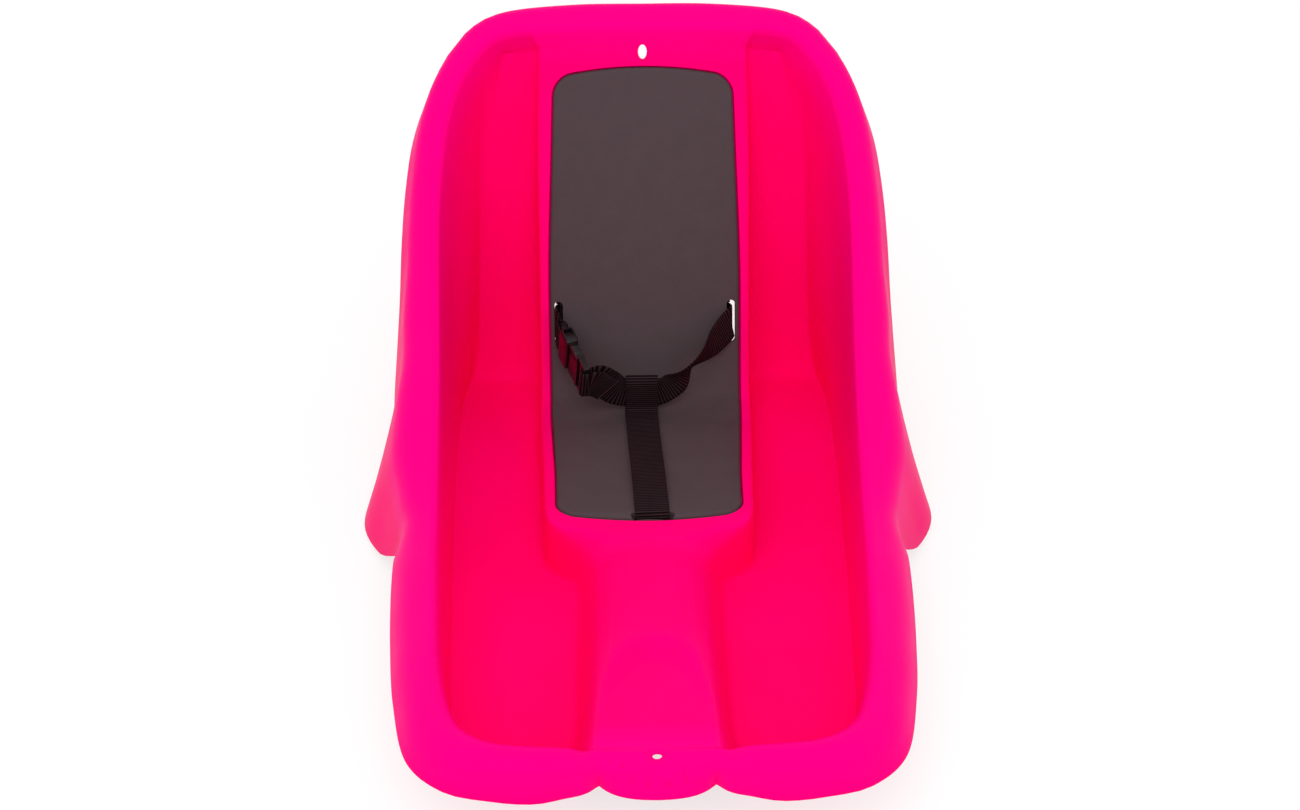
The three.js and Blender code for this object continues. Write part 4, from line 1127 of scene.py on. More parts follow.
class Ribbon:
    """A run of webbing along a path, its width turning through given directions."""

    def __init__(self, path, widths, layout, pitch):
        self.width = layout.width
        self.thickness = layout.webbing
        self.pitch = pitch
        line = [np.array(p, float) for p in path]
        turn = [np.array(w, float) for w in widths]
        shares = np.linspace(0, 1, STEPS_PER_LEG * (len(line) - 1) + 1)
        places = np.array([centripetal(line, t) for t in shares])
        lengths = np.concatenate([[0], np.cumsum(np.linalg.norm(np.diff(places, axis=0), axis=1))])
        self.length = float(lengths[-1])
        count = round(self.length / pitch * ROWS_PER_RIB)
        even = np.interp(np.linspace(0, self.length, count + 1), lengths, shares)
        self.points = np.array([centripetal(line, t) for t in even])
        self.at = np.linspace(0, self.length, count + 1)
        tangents = np.gradient(self.points, axis=0)
        tangents /= np.linalg.norm(tangents, axis=1)[:, None]
        across = np.array([centripetal(turn, t) for t in even])
        across -= tangents * np.sum(across * tangents, axis=1)[:, None]
        across /= np.linalg.norm(across, axis=1)[:, None]
        self.tangents = tangents
        self.across = across
        self.normals = np.cross(tangents, across)
        self.shares = even
        self.line_count = len(line)

    def distance_at(self, index):
        """The distance along the ribbon of one of the path's own points."""
        return float(np.interp(index / (self.line_count - 1), self.shares, self.at))

    def spot(self, distance, x, lift):
        """A point beside the ribbon's middle, x across and lift above it, with its directions."""
        point, across, normal, tangent = (
            np.array([np.interp(distance, self.at, table[:, k]) for k in range(3)])
            for table in (self.points, self.across, self.normals, self.tangents)
        )
        return Vector(point + across * x + normal * lift), Vector(normal), Vector(tangent)

    def mesh(self, name, zigzag=False):
        """The webbing's mesh, ribbed across; its start may be cut in a zigzag."""
        half, flat = self.width / 2, self.thickness / 2
        section = [*WEBBING_SECTION, *((x, -z) for x, z in WEBBING_SECTION[-2:0:-1])]
        points, uvs = [], []
        rows = zip(self.at, self.points, self.across, self.normals, self.tangents)
        for at, point, across, normal, tangent in rows:
            crest = abs(math.sin(math.pi * at / self.pitch))
            swell = 1 - RIB_SINK_SHARE * (1 - crest)
            jag = ZIGZAG if zigzag and at == 0 else 0.0
            for place, (share, lift) in enumerate(section):
                edge = 1 - RIB_NIP_SHARE * (1 - crest) * (abs(share) > SELVEDGE_SHARE)
                points.append(point + across * (half * share * edge)
                              + normal * (flat * lift * swell)
                              + tangent * (-jag if place % 2 else jag))
                uvs.append(((share + 1) / 2 * self.width, at))
        piece = new_object(name, points, tube_faces(len(self.points), WEBBING_SIDES), 60.0)
        layer = piece.data.uv_layers.new(name="webbing")
        for loop in piece.data.loops:
            layer.data[loop.index].uv = uvs[loop.vertex_index]
        return piece

    def stitches(self, distance, size, thread):
        """Points and faces of a row of stitches across the webbing."""
        half = self.width / 2 - STITCH_MARGIN
        count = int(2 * half / (size * STITCH_SPACING))
        lift = self.thickness / 2 + thread * STITCH_LIFT_SHARE
        points, faces = [], []
        for stitch in range(count):
            middle = mix(-half, half, (stitch + 0.5) / count)
            faces += shifted(tube_faces(STITCH_STEPS + 1, STITCH_SIDES), len(points))
            for step in range(STITCH_STEPS + 1):
                t = step / STITCH_STEPS
                rise = math.sin(math.pi * t)
                place, normal, tangent = self.spot(
                    distance, middle + (t - 0.5) * size, lift - thread / 2 * (1 - rise)
                )
                reach = thread / 2 * max(rise, STITCH_END_SHARE)
                for corner in range(STITCH_SIDES):
                    turn = 2 * math.pi * corner / STITCH_SIDES
                    points.append(place + tangent * (reach * math.cos(turn))
                                  + normal * (reach * math.sin(turn)))
        return points, faces


def group(name, *inputs):
    """A shader node group that puts out a colour, a roughness and a normal, new or made before."""
    tree = bpy.data.node_groups.get(name)
    if tree:
        return tree, None
    tree = bpy.data.node_groups.new(name, "ShaderNodeTree")
    for label, kind, default in inputs:
        socket = tree.interface.new_socket(label, in_out="INPUT", socket_type="NodeSocket" + kind)
        if default is not None:
            socket.default_value = default
    for label, kind in (("Colour", "Color"), ("Roughness", "Float"), ("Normal", "Vector")):
        tree.interface.new_socket(label, in_out="OUTPUT", socket_type="NodeSocket" + kind)
    build = Nodes(tree)
    build.start = build.add("NodeGroupInput")
    build.end = build.add("NodeGroupOutput")
    return tree, build


class Nodes:
    """Adds and joins shader nodes in one tree."""

    def __init__(self, tree):
        self.tree = tree

    def add(self, kind, **settings):
        """One node, with its settings."""
        node = self.tree.nodes.new(kind)
        for key, value in settings.items():
            setattr(node, key, value)
        return node

    def put(self, value, socket):
        """Joins an output to a socket, or sets the socket's own value."""
        if isinstance(value, bpy.types.NodeSocket):
            self.tree.links.new(value, socket)
        else:
            socket.default_value = value

    def give(self, colour, roughness, normal):
        """Joins a group's results to its outputs."""
        for value, socket in zip((colour, roughness, normal), self.end.inputs):
            self.put(value, socket)

    def math(self, operation, a, b=0.0):
        """The result of an operation on one value or two."""
        node = self.add("ShaderNodeMath", operation=operation)
        for socket, value in zip(node.inputs, (a, b)):
            self.put(value, socket)
        return node.outputs[0]

    def ripple(self, value):
        """A wave from 0 to 1 that comes back once for every whole step of a value."""
        wave = self.math("SINE", self.math("MULTIPLY", value, math.pi))
        return self.math("ABSOLUTE", wave)

    def place(self):
        """The place on the piece."""
        return self.add("ShaderNodeTexCoord").outputs["Object"]

    def in_sight(self):
        """One for rays from the camera, also by way of gloss or glass, and nought for others."""
        rays = self.add("ShaderNodeLightPath").outputs
        seen = self.math("ADD", rays["Is Camera Ray"], rays["Is Glossy Ray"])
        return self.math("ADD", seen, rays["Is Transmission Ray"])

    def noise(self, vector, scale, detail, roughness=0.5):
        """Smooth noise from 0 to 1."""
        node = self.add("ShaderNodeTexNoise")
        self.put(vector, node.inputs["Vector"])
        self.put(scale, node.inputs["Scale"])
        node.inputs["Detail"].default_value = detail
        node.inputs["Roughness"].default_value = roughness
        return node.outputs["Fac"]

    def blend(self, factor, a, b):
        """A colour between two others."""
        node = self.add("ShaderNodeMix", data_type="RGBA")
        self.put(factor, node.inputs["Factor"])
        self.put(a, node.inputs["A"])
        self.put(b, node.inputs["B"])
        return node.outputs["Result"]

    def spread(self, value, low, high, start=0.0, end=1.0):
        """A value moved from one range to another."""
        node = self.add("ShaderNodeMapRange")
        for socket, item in zip(node.inputs, (value, start, end, low, high)):
            self.put(item, socket)
        return node.outputs["Result"]

    def bump(self, height, strength, distance):
        """A normal from a height."""
        node = self.add("ShaderNodeBump")
        self.put(height, node.inputs["Height"])
        self.put(strength, node.inputs["Strength"])
        self.put(distance, node.inputs["Distance"])
        return node.outputs["Normal"]


def grain_group():
    """Fine grain with long soft drifts of colour."""
    tree, build = group(
        "moulded_grain",
        ("Vector", "Vector", None), ("Colour", "Color", None), ("Drift Colour", "Color", None),
        ("Scale", "Float", 900.0), ("Roughness", "Float", 0.4), ("Depth", "Float", 0.0001),
    )
    if build:
        given = build.start.outputs
        fine = build.noise(given["Vector"], given["Scale"], 2.0)
        long = build.noise(given["Vector"], build.math("MULTIPLY", given["Scale"], 0.008), 3.0)
        patch = build.noise(given["Vector"], build.math("MULTIPLY", given["Scale"], 0.05), 4.0)
        drift = build.spread(long, 0.0, 1.0, 0.35, 0.7)
        build.give(
            build.blend(drift, given["Colour"], given["Drift Colour"]),
            build.math("MULTIPLY", given["Roughness"], build.spread(patch, 0.85, 1.18)),
            build.bump(fine, 0.35, given["Depth"]),
        )
    return tree


def weave_group():
    """Ribs and yarns of narrow webbing with a painted highlight on the rib crests, from places
    across and along it in metres.
    """
    tree, build = group(
        "webbing_weave",
        ("Across", "Float", 0.0), ("Along", "Float", 0.0), ("Valley", "Color", None),
        ("Crest", "Color", None), ("Pitch", "Float", 0.0016), ("Depth", "Float", 0.0002),
    )
    if build:
        given = build.start.outputs
        phase = build.math("DIVIDE", given["Along"], given["Pitch"])
        rib = build.math("POWER", build.ripple(phase), 5.0)
        yarn = build.math("DIVIDE", given["Across"], YARN_WIDTH)
        yarn = build.ripple(build.math("ADD", yarn, build.math("MULTIPLY", phase, 0.5)))
        place = build.add("ShaderNodeCombineXYZ")
        build.put(given["Across"], place.inputs["X"])
        build.put(given["Along"], place.inputs["Y"])
        fuzz = build.noise(place.outputs["Vector"], 2600.0, 3.0, 0.6)
        fade = build.noise(place.outputs["Vector"], 60.0, 3.0)
        # Where the painted highlight of the rib crests shows, broken up by fuzz, the yarns and a
        # slow fade.
        tone = build.math("MULTIPLY", rib, build.spread(fuzz, 0.45, 1.0))
        tone = build.math("MULTIPLY", tone, build.spread(yarn, 0.7, 1.0))
        tone = build.math("MULTIPLY", tone, build.spread(fade, 0.7, 1.15))
        height = build.math("ADD", rib, build.math("MULTIPLY", yarn, 0.4))
        height = build.math("ADD", height, build.math("MULTIPLY", fuzz, 0.3))
        build.give(
            build.blend(tone, given["Valley"], given["Crest"]),
            build.spread(fuzz, 0.72, 0.95),
            build.bump(height, 0.6, given["Depth"]),
        )
    return tree


def skin_group():
    """The pressed skin of foam: fine pores and soft mottling."""
    tree, build = group(
        "foam_skin",
        ("Vector", "Vector", None), ("Colour", "Color", None), ("Worn Colour", "Color", None),
        ("Depth", "Float", 0.0002),
    )
    if build:
        given = build.start.outputs
        pores = build.add("ShaderNodeTexVoronoi", feature="F1")
        build.put(given["Vector"], pores.inputs["Vector"])
        pores.inputs["Scale"].default_value = 850.0
        fine = build.noise(given["Vector"], 1400.0, 2.0)
        soft = build.noise(given["Vector"], 55.0, 4.0, 0.55)
        mottle = build.math("MULTIPLY", build.spread(soft, 0.0, 1.0, 0.3, 0.75), 0.6)
        bright = build.add("ShaderNodeMix", data_type="RGBA", blend_type="MULTIPLY")
        bright.inputs["Factor"].default_value = 1.0
        build.put(build.blend(mottle, given["Colour"], given["Worn Colour"]), bright.inputs["A"])
        build.put(build.spread(fine, 0.86, 1.12), bright.inputs["B"])
        height = build.math("ADD", pores.outputs["Distance"], build.math("MULTIPLY", fine, 0.5))
        build.give(
            bright.outputs["Result"],
            build.spread(soft, 0.62, 0.82),
            build.bump(height, 0.4, given["Depth"]),
        )
    return tree


def solid(rgb):
    """A colour with full alpha."""
    return (rgb[0], rgb[1], rgb[2], 1.0)


def tinted(rgb, amount):
    """A colour made lighter or darker by a share."""
    return tuple(min(max(value * amount, 0.0), 1.0) for value in rgb)


def material(name):
    """A new node material with a plain shader, or the one already made."""
    name += "_finish"
    made = bpy.data.materials.get(name)
    if made:
        return made, None, None
    made = bpy.data.materials.new(name)
    made.use_nodes = True
    shader = made.node_tree.nodes["Principled BSDF"]
    return made, Nodes(made.node_tree), shader


def dress(build, shader, tree, gloss, values):
    """Places a group, joins its outputs to the shader and sets how strong its gloss is."""
    node = build.add("ShaderNodeGroup", node_tree=tree)
    for label, value in values.items():
        build.put(value, node.inputs[label])
    build.put(node.outputs["Colour"], shader.inputs["Base Color"])
    build.put(node.outputs["Roughness"], shader.inputs["Roughness"])
    build.put(node.outputs["Normal"], shader.inputs["Normal"])
    shader.inputs["Specular IOR Level"].default_value = gloss


def plain_finish(name, group_maker, gloss, values):
    """A material made of one group that needs only the place on the piece."""
    made, build, shader = material(name)
    if build:
        dress(build, shader, group_maker(), gloss, {"Vector": build.place(), **values})
    return made


def moulding_material(finish):
    """Dyed plastic with a fine grain, whose colour turns towards a painted magenta sheen near the
    top of the rim.
    """
    made, build, shader = material("moulding")
    if build:
        # Near the top of the rim the colour turns to the rim colour, a painted sheen that stands
        # in for light caught on the rims; the drift colour turns to it too.
        rim = build.add("ShaderNodeAttribute", attribute_name="rim").outputs["Fac"]
        red, green, blue = finish.moulding
        dress(build, shader, grain_group(), 0.04, {
            "Vector": build.place(),
            "Colour": build.blend(rim, solid(finish.moulding), solid(finish.rim)),
            "Drift Colour": build.blend(rim, solid((red, green, blue * 1.15)), solid(finish.rim)),
            "Scale": 700.0,
            "Roughness": finish.smoothness,
            "Depth": 0.00025,
        })
        shader.inputs["Specular Tint"].default_value = solid(finish.gloss)
    return made


def foam_material(finish):
    """Matt dark foam with a pressed skin."""
    return plain_finish("foam", skin_group, 0.12, {
        "Colour": solid(finish.foam),
        "Worn Colour": solid(tinted(finish.foam, 1.18)),
        "Depth": 0.0003,
    })


def webbing_material(finish, pitch, fused=False):
    """Ribbed webbing, or its heat-cut end."""
    made, build, shader = material("webbing_fused" if fused else "webbing")
    if build:
        uv = build.add("ShaderNodeUVMap", uv_map="webbing")
        split = build.add("ShaderNodeSeparateXYZ")
        build.put(uv.outputs["UV"], split.inputs["Vector"])
        valley, crest = FUSED_PALE if fused else (1.0, 1.0)
        dress(build, shader, weave_group(), 0.05, {
            "Across": split.outputs["X"],
            "Along": split.outputs["Y"],
            "Valley": solid(tinted(finish.webbing, valley)),
            # The crest colour is the painted highlight on the ribs.
            "Crest": solid(tinted(finish.rib, crest)),
            "Pitch": pitch,
            "Depth": 0.0002,
        })
    return made


def thread_material(finish):
    """Sewing thread with a fine grain."""
    return plain_finish("thread", grain_group, 0.5, {
        "Colour": solid(finish.thread),
        "Drift Colour": solid(tinted(finish.thread, 0.6)),
        "Scale": 3000.0,
        "Roughness": 0.7,
        "Depth": 0.0002,
    })


def acetal_material(finish):
    """Dark satin plastic of the buckle and the anchors."""
    return plain_finish("acetal", grain_group, 0.25, {
        "Colour": solid(finish.buckle),
        "Drift Colour": solid(tinted(finish.buckle, 1.5)),
        "Scale": 1500.0,
        "Roughness": 0.36,
        "Depth": 0.00008,
    })


def finish_piece(piece, made, body, slot, *nodes):
    """Gives a piece its material, its body and the nodes that it stands for; its slot is not used.
    """
    piece.data.materials.clear()
    piece.data.materials.append(made)
    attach(piece, body)
    if nodes:
        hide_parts(*nodes)


class SLED_OT_shell(bpy.types.Operator):
    """Build the moulded body with its slots, holes and flutes"""

    bl_idname = "sled.shell"
    bl_label = "Body"

    def execute(self, context):
        layout = Layout(context)
        body = layout.body
        points, faces = body.shell()
        shell = new_object("body_moulding", points, faces)
        tree = BVHTree.FromObject(shell, context.evaluated_depsgraph_get())
        lens = context.scene.sled_stage.lens
        flutes = [flute(tree, start, end, lens) for start, end in FLUTES]
        recess = PadForm(layout, RECESS_GAP).solid("recess_tool", RECESS_DEPTH, -RECESS_DEPTH)
        tray = PadForm(layout, RECESS_GAP + body.wall).solid(
            "tray_tool", -PAD_PROUD - body.wall / 2, -RECESS_DEPTH - body.wall
        )
        carve(shell, [*flutes, tray], "UNION")
        carve(shell, [recess, *body_tools(layout), self.dish(tree), *self.holes(body)])
        soften(shell, 38.0)
        # Marks how near each point is to the rim's crest, as the mask of the painted sheen on the
        # rim.
        body.mark_rim_sheen(shell)
        finish_piece(shell, moulding_material(context.scene.sled_finish), "sled", "moulding",
                     "shell")
        return {"FINISHED"}

    def dish(self, tree):
        """A cutter for the shallow dish round the rope hole."""
        surface, normal, _, _ = tree.ray_cast(Vector((0, ROPE_HOLE_PLACE, 1)), Vector((0, 0, -1)))
        matrix = Matrix.Translation(surface) @ normal.to_track_quat("Y", "Z").to_matrix().to_4x4()
        profile = [(-ROPE_DISH_DEPTH * math.cos(turn), ROPE_DISH * math.sin(turn))
                   for turn in ROPE_DISH_TURNS]
        profile += [(place, ROPE_DISH * ROPE_DISH_FLARE)
                    for place in (ROPE_DISH_DEPTH, CUT_DEPTH / 4)]
        return lathe("dish_tool", profile, matrix)

    def holes(self, body):
        """Cutters for the rope hole in the front lobe and the hole at the top of the back."""
        rope = Matrix.Translation((0, ROPE_HOLE_PLACE, EDGE_SHARES[0][4] * body.height))
        back = Matrix.Translation((0, RIDGE_SHARES[-1][0] * body.half_length, HANG_HOLE_HEIGHT))
        back @= Matrix.Rotation(math.pi / 2, 4, "X")
        return [
            hole_tool(oval_outline(ROPE_HOLE + FIT, ROPE_HOLE_DEEP), rope, 2 * CUT_DEPTH),
            hole_tool(oval_outline(HANG_HOLE_WIDTH, HANG_HOLE), back),
        ]


class SLED_OT_pad(bpy.types.Operator):
    """Build the foam seat pad with its arched end, eased edges and slots"""

    bl_idname = "sled.pad"
    bl_label = "Seat pad"

    def execute(self, context):
        layout = Layout(context)
        form = PadForm(layout)
        upper = layout.pad - RECESS_DEPTH + FIT
        middle = upper - layout.pad / 2
        faces, border = grid_faces(len(form.places), PAD_COLUMNS)
        points = []
        for lift, crown in ((upper, PAD_CROWN), (upper - layout.pad, 0.0)):
            points += [form.spot(s, across, lift, PAD_EDGE, crown)
                       for s in form.places for across in form.across]
        shift = len(points) // 2
        faces = both_sides(faces, shift)
        ring = [row * len(form.across) + column for row, column in border]
        before = ring
        for step in range(1, PAD_EDGE_STEPS + 1):
            angle = math.pi * step / PAD_EDGE_STEPS
            if step < PAD_EDGE_STEPS:
                inset = PAD_EDGE * (1 - math.sin(angle) ** PAD_EDGE_POWER)
                lift = middle + layout.pad / 2 * math.cos(angle)
                after = list(range(len(points), len(points) + len(ring)))
                points += [form.spot(form.places[row], form.across[column], lift, inset)
                           for row, column in border]
            else:
                after = [place + shift for place in ring]
            faces += band_faces(before, after)
            before = after
        pad = new_object("foam_pad", points, faces, 50.0)
        carve(pad, body_tools(layout))
        soften(pad, 50.0)
        finish_piece(pad, foam_material(context.scene.sled_finish), "sled", "foam", "seat_pad")
        return {"FINISHED"}


def sew(name, ribbon, distances, context):
    """One piece made of rows of stitches across a ribbon."""
    web = context.scene.sled_harness
    points, faces = [], []
    for distance in distances:
        row_points, row_faces = ribbon.stitches(distance, web.stitch, web.thread)
        faces += shifted(row_faces, len(points))
        points += row_points
    piece = new_object(name, points, faces, 60.0)
    finish_piece(piece, thread_material(context.scene.sled_finish), "sled", "webbing")


class SLED_OT_crotch_strap(bpy.types.Operator):
    """Build the crotch webbing with its sewn loop and stitch rows"""

    bl_idname = "sled.crotch_strap"
    bl_label = "Crotch strap"

    def execute(self, context):
        layout = Layout(context)
        web = context.scene.sled_harness
        finish = context.scene.sled_finish
        seat = layout.seat
        start = layout.through_slot(layout.crotch, 0)
        side = layout.webbing / 2 + 2 * FIT
        foot = seat.at_y(LOOP_FOOT)
        belt = BELT_PLACES[2]
        ahead = belt[1] - LOOP_REACH
        behind = belt[1] + LOOP_REACH

        def on(s, lift):
            return seat.on(mix(CROTCH_PLACE, LOOP_PLACE, s / foot), s, lift)

        def at(y, z):
            return Vector((LOOP_PLACE, y, z))

        anchor = layout.round_anchor(layout.anchors["crotch"], 1)
        strap = [
            *start[:2],
            on(CROTCH_INSET + side, side * WRAP_EASE_SHARE),
            on(CROTCH_INSET + 3 * layout.webbing, side + FIT),
            on(STRAP_MIDDLE, STRAP_RISE),
            on(foot - SEAM_LENGTH, 2 * side + layout.webbing),
            at(ahead - FIT, belt[2] - layout.width / 2),
            at(ahead, belt[2]),
            at(ahead, LOOP_HEIGHT - LOOP_REACH),
            at(belt[1], LOOP_HEIGHT),
            at(behind, LOOP_HEIGHT - LOOP_REACH),
            at(behind, belt[2]),
            at(behind, belt[2] - (layout.width + layout.webbing) / 2),
            on(foot + 3 * SEAM_LENGTH, side + FIT),
            on(foot - SEAM_LENGTH, side),
        ]
        path = [*anchor, *strap]
        sideways = Vector((1, 0, 0))
        ribbon = Ribbon(path, [sideways] * len(path), layout, web.rib)
        piece = ribbon.mesh("crotch_webbing")
        finish_piece(piece, webbing_material(finish, web.rib), "sled", "webbing", "crotch_strap")
        front = ribbon.distance_at(len(anchor) + 3)
        seam = ribbon.distance_at(len(anchor) + 5) + SEAM_LEAD
        rows = [start + shift for start in (front, seam) for shift in (0, STITCH_ROW_GAP)]
        sew("crotch_stitches", ribbon, rows, context)
        return {"FINISHED"}


class SLED_OT_lap_straps(bpy.types.Operator):
    """Build the two lap straps, one sewn round the socket and one through the ladder"""

    bl_idname = "sled.lap_straps"
    bl_label = "Lap straps"

    def execute(self, context):
        layout = Layout(context)
        self.left(context, layout)
        self.right(context, layout)
        return {"FINISHED"}

    def left(self, context, layout):
        """The short strap that holds the socket."""
        web = context.scene.sled_harness
        finish = context.scene.sled_finish
        anchor = layout.round_anchor(layout.anchors["left"], -1)
        start = [*anchor, *layout.through_slot(layout.left, layout.left_across)]
        side = layout.web_side
        path = [
            *start,
            *layout.round_buckle(
                (-BUCKLE_LEAD / 2, 0),
                (-YOKE_BAR, -side * WRAP_EASE_SHARE),
                (0, -side),
                (YOKE_BAR, -side),
                (YOKE_BAR + YOKE_SLOT / 2, 0),
                (YOKE_BAR, side),
                (0, side),
                (-YOKE_BAR, side * WRAP_RISE_SHARE),
                (-BUCKLE_LEAD / 2, layout.webbing + FIT),
            ),
        ]
        widths = [layout.along_slot if place < len(start) else layout.across
                  for place in range(len(path))]
        ribbon = Ribbon(path, widths, layout, web.rib)
        piece = ribbon.mesh("lap_webbing_left")
        finish_piece(piece, webbing_material(finish, web.rib), "sled", "webbing",
                     "lap_strap_left")
        rows = [ribbon.length - LAP_ROW_GAP * row for row in (1, 2)]
        sew("lap_stitches_left", ribbon, rows, context)

    def right(self, context, layout):
        """The long strap, from its free tail round the ladder to the right slot."""
        web = context.scene.sled_harness
        finish = context.scene.sled_finish
        anchor = layout.round_anchor(layout.anchors["right"], 1)
        start = [*anchor, *layout.through_slot(layout.right, layout.right_across)]
        start.reverse()
        inside = layout.ladder_end - LADDER_BAR
        clear = layout.webbing / 2 + FIT
        corner = YOKE_THICKNESS / 2 + clear
        slot = inside - clear - FIT
        outside = layout.ladder_end + clear + 3 * FIT
        side = layout.web_side
        tail = [
            *[Vector(place) for place in TAIL_PLACES],
            *layout.round_buckle(
                (outside, -side),
                (outside, 0),
                (layout.ladder_end + clear, corner),
                (layout.ladder_end - LADDER_BAR / 2, side + layout.webbing / 2),
                (inside - clear, corner),
                (slot, 0),
                (slot, -side),
                (slot, -side - 2 * LADDER_SLOT),
            ),
        ]
        belt = [Vector(place) for place in BELT_PLACES]
        path = [*tail, *belt, Vector(TWIST_PLACE), Vector(CLIMB_PLACE), *start]
        upright = Vector((0, 0, 1))
        twist = Vector(TWIST_ACROSS)
        widths = [
            *[layout.across] * len(tail),
            *[upright] * len(belt),
            twist,
            twist.lerp(layout.along_slot, TWIST_SHARE),
            *[layout.along_slot] * len(start),
        ]
        ribbon = Ribbon(path, widths, layout, web.rib)
        piece = ribbon.mesh("lap_webbing_right", zigzag=True)
        piece.data.materials.append(webbing_material(finish, web.rib))
        piece.data.materials.append(webbing_material(finish, web.rib, fused=True))
        for face in piece.data.polygons:
            if min(face.vertices) < 2 * WEBBING_SIDES:
                face.material_index = 1
        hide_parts("lap_strap_right")
        free = layout.in_buckle(layout.ladder_end, 0)
        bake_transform(piece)


class SLED_OT_buckle(bpy.types.Operator):
    """Build the side-release buckle: socket, plug and two sprung arms"""

    bl_idname = "sled.buckle"
    bl_label = "Buckle"

    def execute(self, context):
        layout = Layout(context)
        made = acetal_material(context.scene.sled_finish)
        finish_piece(self.socket(layout), made, "sled", "buckle", "buckle_socket")
        finish_piece(self.plug(layout), made, "plug", "buckle", "buckle_plug")
        for side, name in ((1, "upper"), (-1, "lower")):
            finish_piece(self.prong(layout, side, name), made, f"{name}_prong", "buckle",
                         f"prong_{name}")
        return {"FINISHED"}

    def socket(self, layout):
        """The sleeve with its mouth, side windows and yoke."""
        place = layout.buckle
        half, thick = BUCKLE_WIDTH / 2, BUCKLE_THICKNESS / 2
        inner = layout.yoke + SOCKET_WALL
        start = inner + SOCKET_WALL
        sleeve = plate("socket", layout.yoke, SOCKET_LENGTH, half, thick, 2 * SOCKET_WALL, place)
        yoke = plate("yoke", 0, inner, layout.cavity_half, YOKE_THICKNESS / 2, SOCKET_WALL, place)
        bevel(sleeve, SLEEVE_ROUND, 5)
        carve(sleeve, [yoke], "UNION")
        carve(sleeve, [
            block(YOKE_BAR, layout.yoke, layout.opening_half, thick, place),
            block(inner, SOCKET_LENGTH + SOCKET_WALL, layout.cavity_half, layout.cavity_lift,
                  place),
            block(start, start + WINDOW_LENGTH, BUCKLE_WIDTH, layout.cavity_lift, place),
        ])
        return bevel(sleeve, SLEEVE_EASE, 2, 45.0)

    def plug(self, layout):
        """The tongue, body, head and ladder bars."""
        place = layout.buckle
        half, thick, wall = BUCKLE_WIDTH / 2, PLUG_THICKNESS / 2, SOCKET_WALL
        ladder = plate("plug", layout.ladder_start - wall, layout.ladder_end, half,
                       YOKE_THICKNESS / 2, wall, place)
        head = plate("head", layout.head_start, layout.ladder_start, half, thick, wall / 2, place)
        body = plate("body", layout.body_start, layout.head_start + wall, PLUG_BODY_WIDTH / 2,
                     thick, wall / 2, place)
        tongue = plate("tongue", layout.body_start - TONGUE_LENGTH, layout.body_start + wall,
                       TONGUE_WIDTH / 2, wall, wall, place)
        starts = [layout.ladder_start + row * (LADDER_SLOT + LADDER_BAR) for row in range(2)]
        carve(ladder, [block(start, start + LADDER_SLOT, layout.opening_half, thick, place)
                       for start in starts])
        carve(ladder, [head, body, tongue], "UNION")
        return bevel(ladder, PLUG_EASE, 3, 40.0)

    def prong(self, layout, side, name):
        """One sprung arm with a ribbed grip and a barb."""
        root = Matrix.Translation((layout.head_start - FIT, side * layout.prong_place, 0))
        place = layout.buckle @ root
        half = PRONG_WIDTH / 2
        tip = -PRONG_LENGTH
        barb = tip + BARB_LENGTH
        grip = -(BODY_REACH - PRONG_GRIP) / 2
        grip_end = grip - PRONG_GRIP
        outline = [
            (0, -half), (tip + half, -half), (tip, 0), (tip + half, half + FIT),
            (barb - FIT, half + PRONG_BARB), (barb, half - FIT), (grip_end - FIT, half - FIT),
            (grip_end, half + FIT), (grip_end + half, half + PRONG_BOW * GRIP_EDGE_SHARE),
        ]
        steps = GRIP_RIBS * GRIP_STEPS
        first, last = grip_end + half + FIT, grip - half
        for step in range(steps + 1):
            wave = 0.5 - 0.5 * math.cos(2 * math.pi * GRIP_RIBS * step / steps)
            rise = PRONG_BOW * mix(GRIP_VALLEY_SHARE, 1, wave)
            outline.append((mix(first, last, step / steps), half + rise))
        outline += [(grip, half), (0, half)]
        outline = [(x, side * y) for x, y in outline]
        if side > 0:
            outline.reverse()
        lift = layout.cavity_lift - FIT
        arm = prism(f"arm_{name}", outline, -lift, lift, place)
        return bevel(arm, PRONG_EASE, 2, 50.0)


class SLED_OT_anchors(bpy.types.Operator):
    """Build the three bars behind the slots, each with two collars"""

    bl_idname = "sled.anchors"
    bl_label = "Anchors"

    def execute(self, context):
        layout = Layout(context)
        made = acetal_material(context.scene.sled_finish)
        half = ANCHOR_LENGTH / 2
        clear = layout.width / 2 + 3 * FIT
        far = clear + COLLAR_WIDTH
        rise = ANCHOR_RADIUS + COLLAR_RISE
        ease = COLLAR_EASE
        side = [(half - inset, ANCHOR_RADIUS * share) for inset, share in ANCHOR_NOSE]
        side += [(far + ease, ANCHOR_RADIUS), (far, rise - ease), (far - ease, rise),
                 (clear + ease, rise), (clear, rise - ease), (clear, ANCHOR_RADIUS)]
        profile = [(-place, radius) for place, radius in side]
        profile += [(place, radius) for place, radius in reversed(side)]
        for name, matrix in layout.anchors.items():
            bar = lathe(f"bar_{name}", profile, matrix)
            finish_piece(bar, made, "sled", "anchor", f"anchor_{name}")
        return {"FINISHED"}


def aimed(name, data, place, target):
    """A lamp or a camera that looks from one place at another."""
    piece = bpy.data.objects.new(name, data)
    piece.location = place
    piece.rotation_euler = facing(place, target).to_euler()
    bpy.context.scene.collection.objects.link(piece)
    return piece


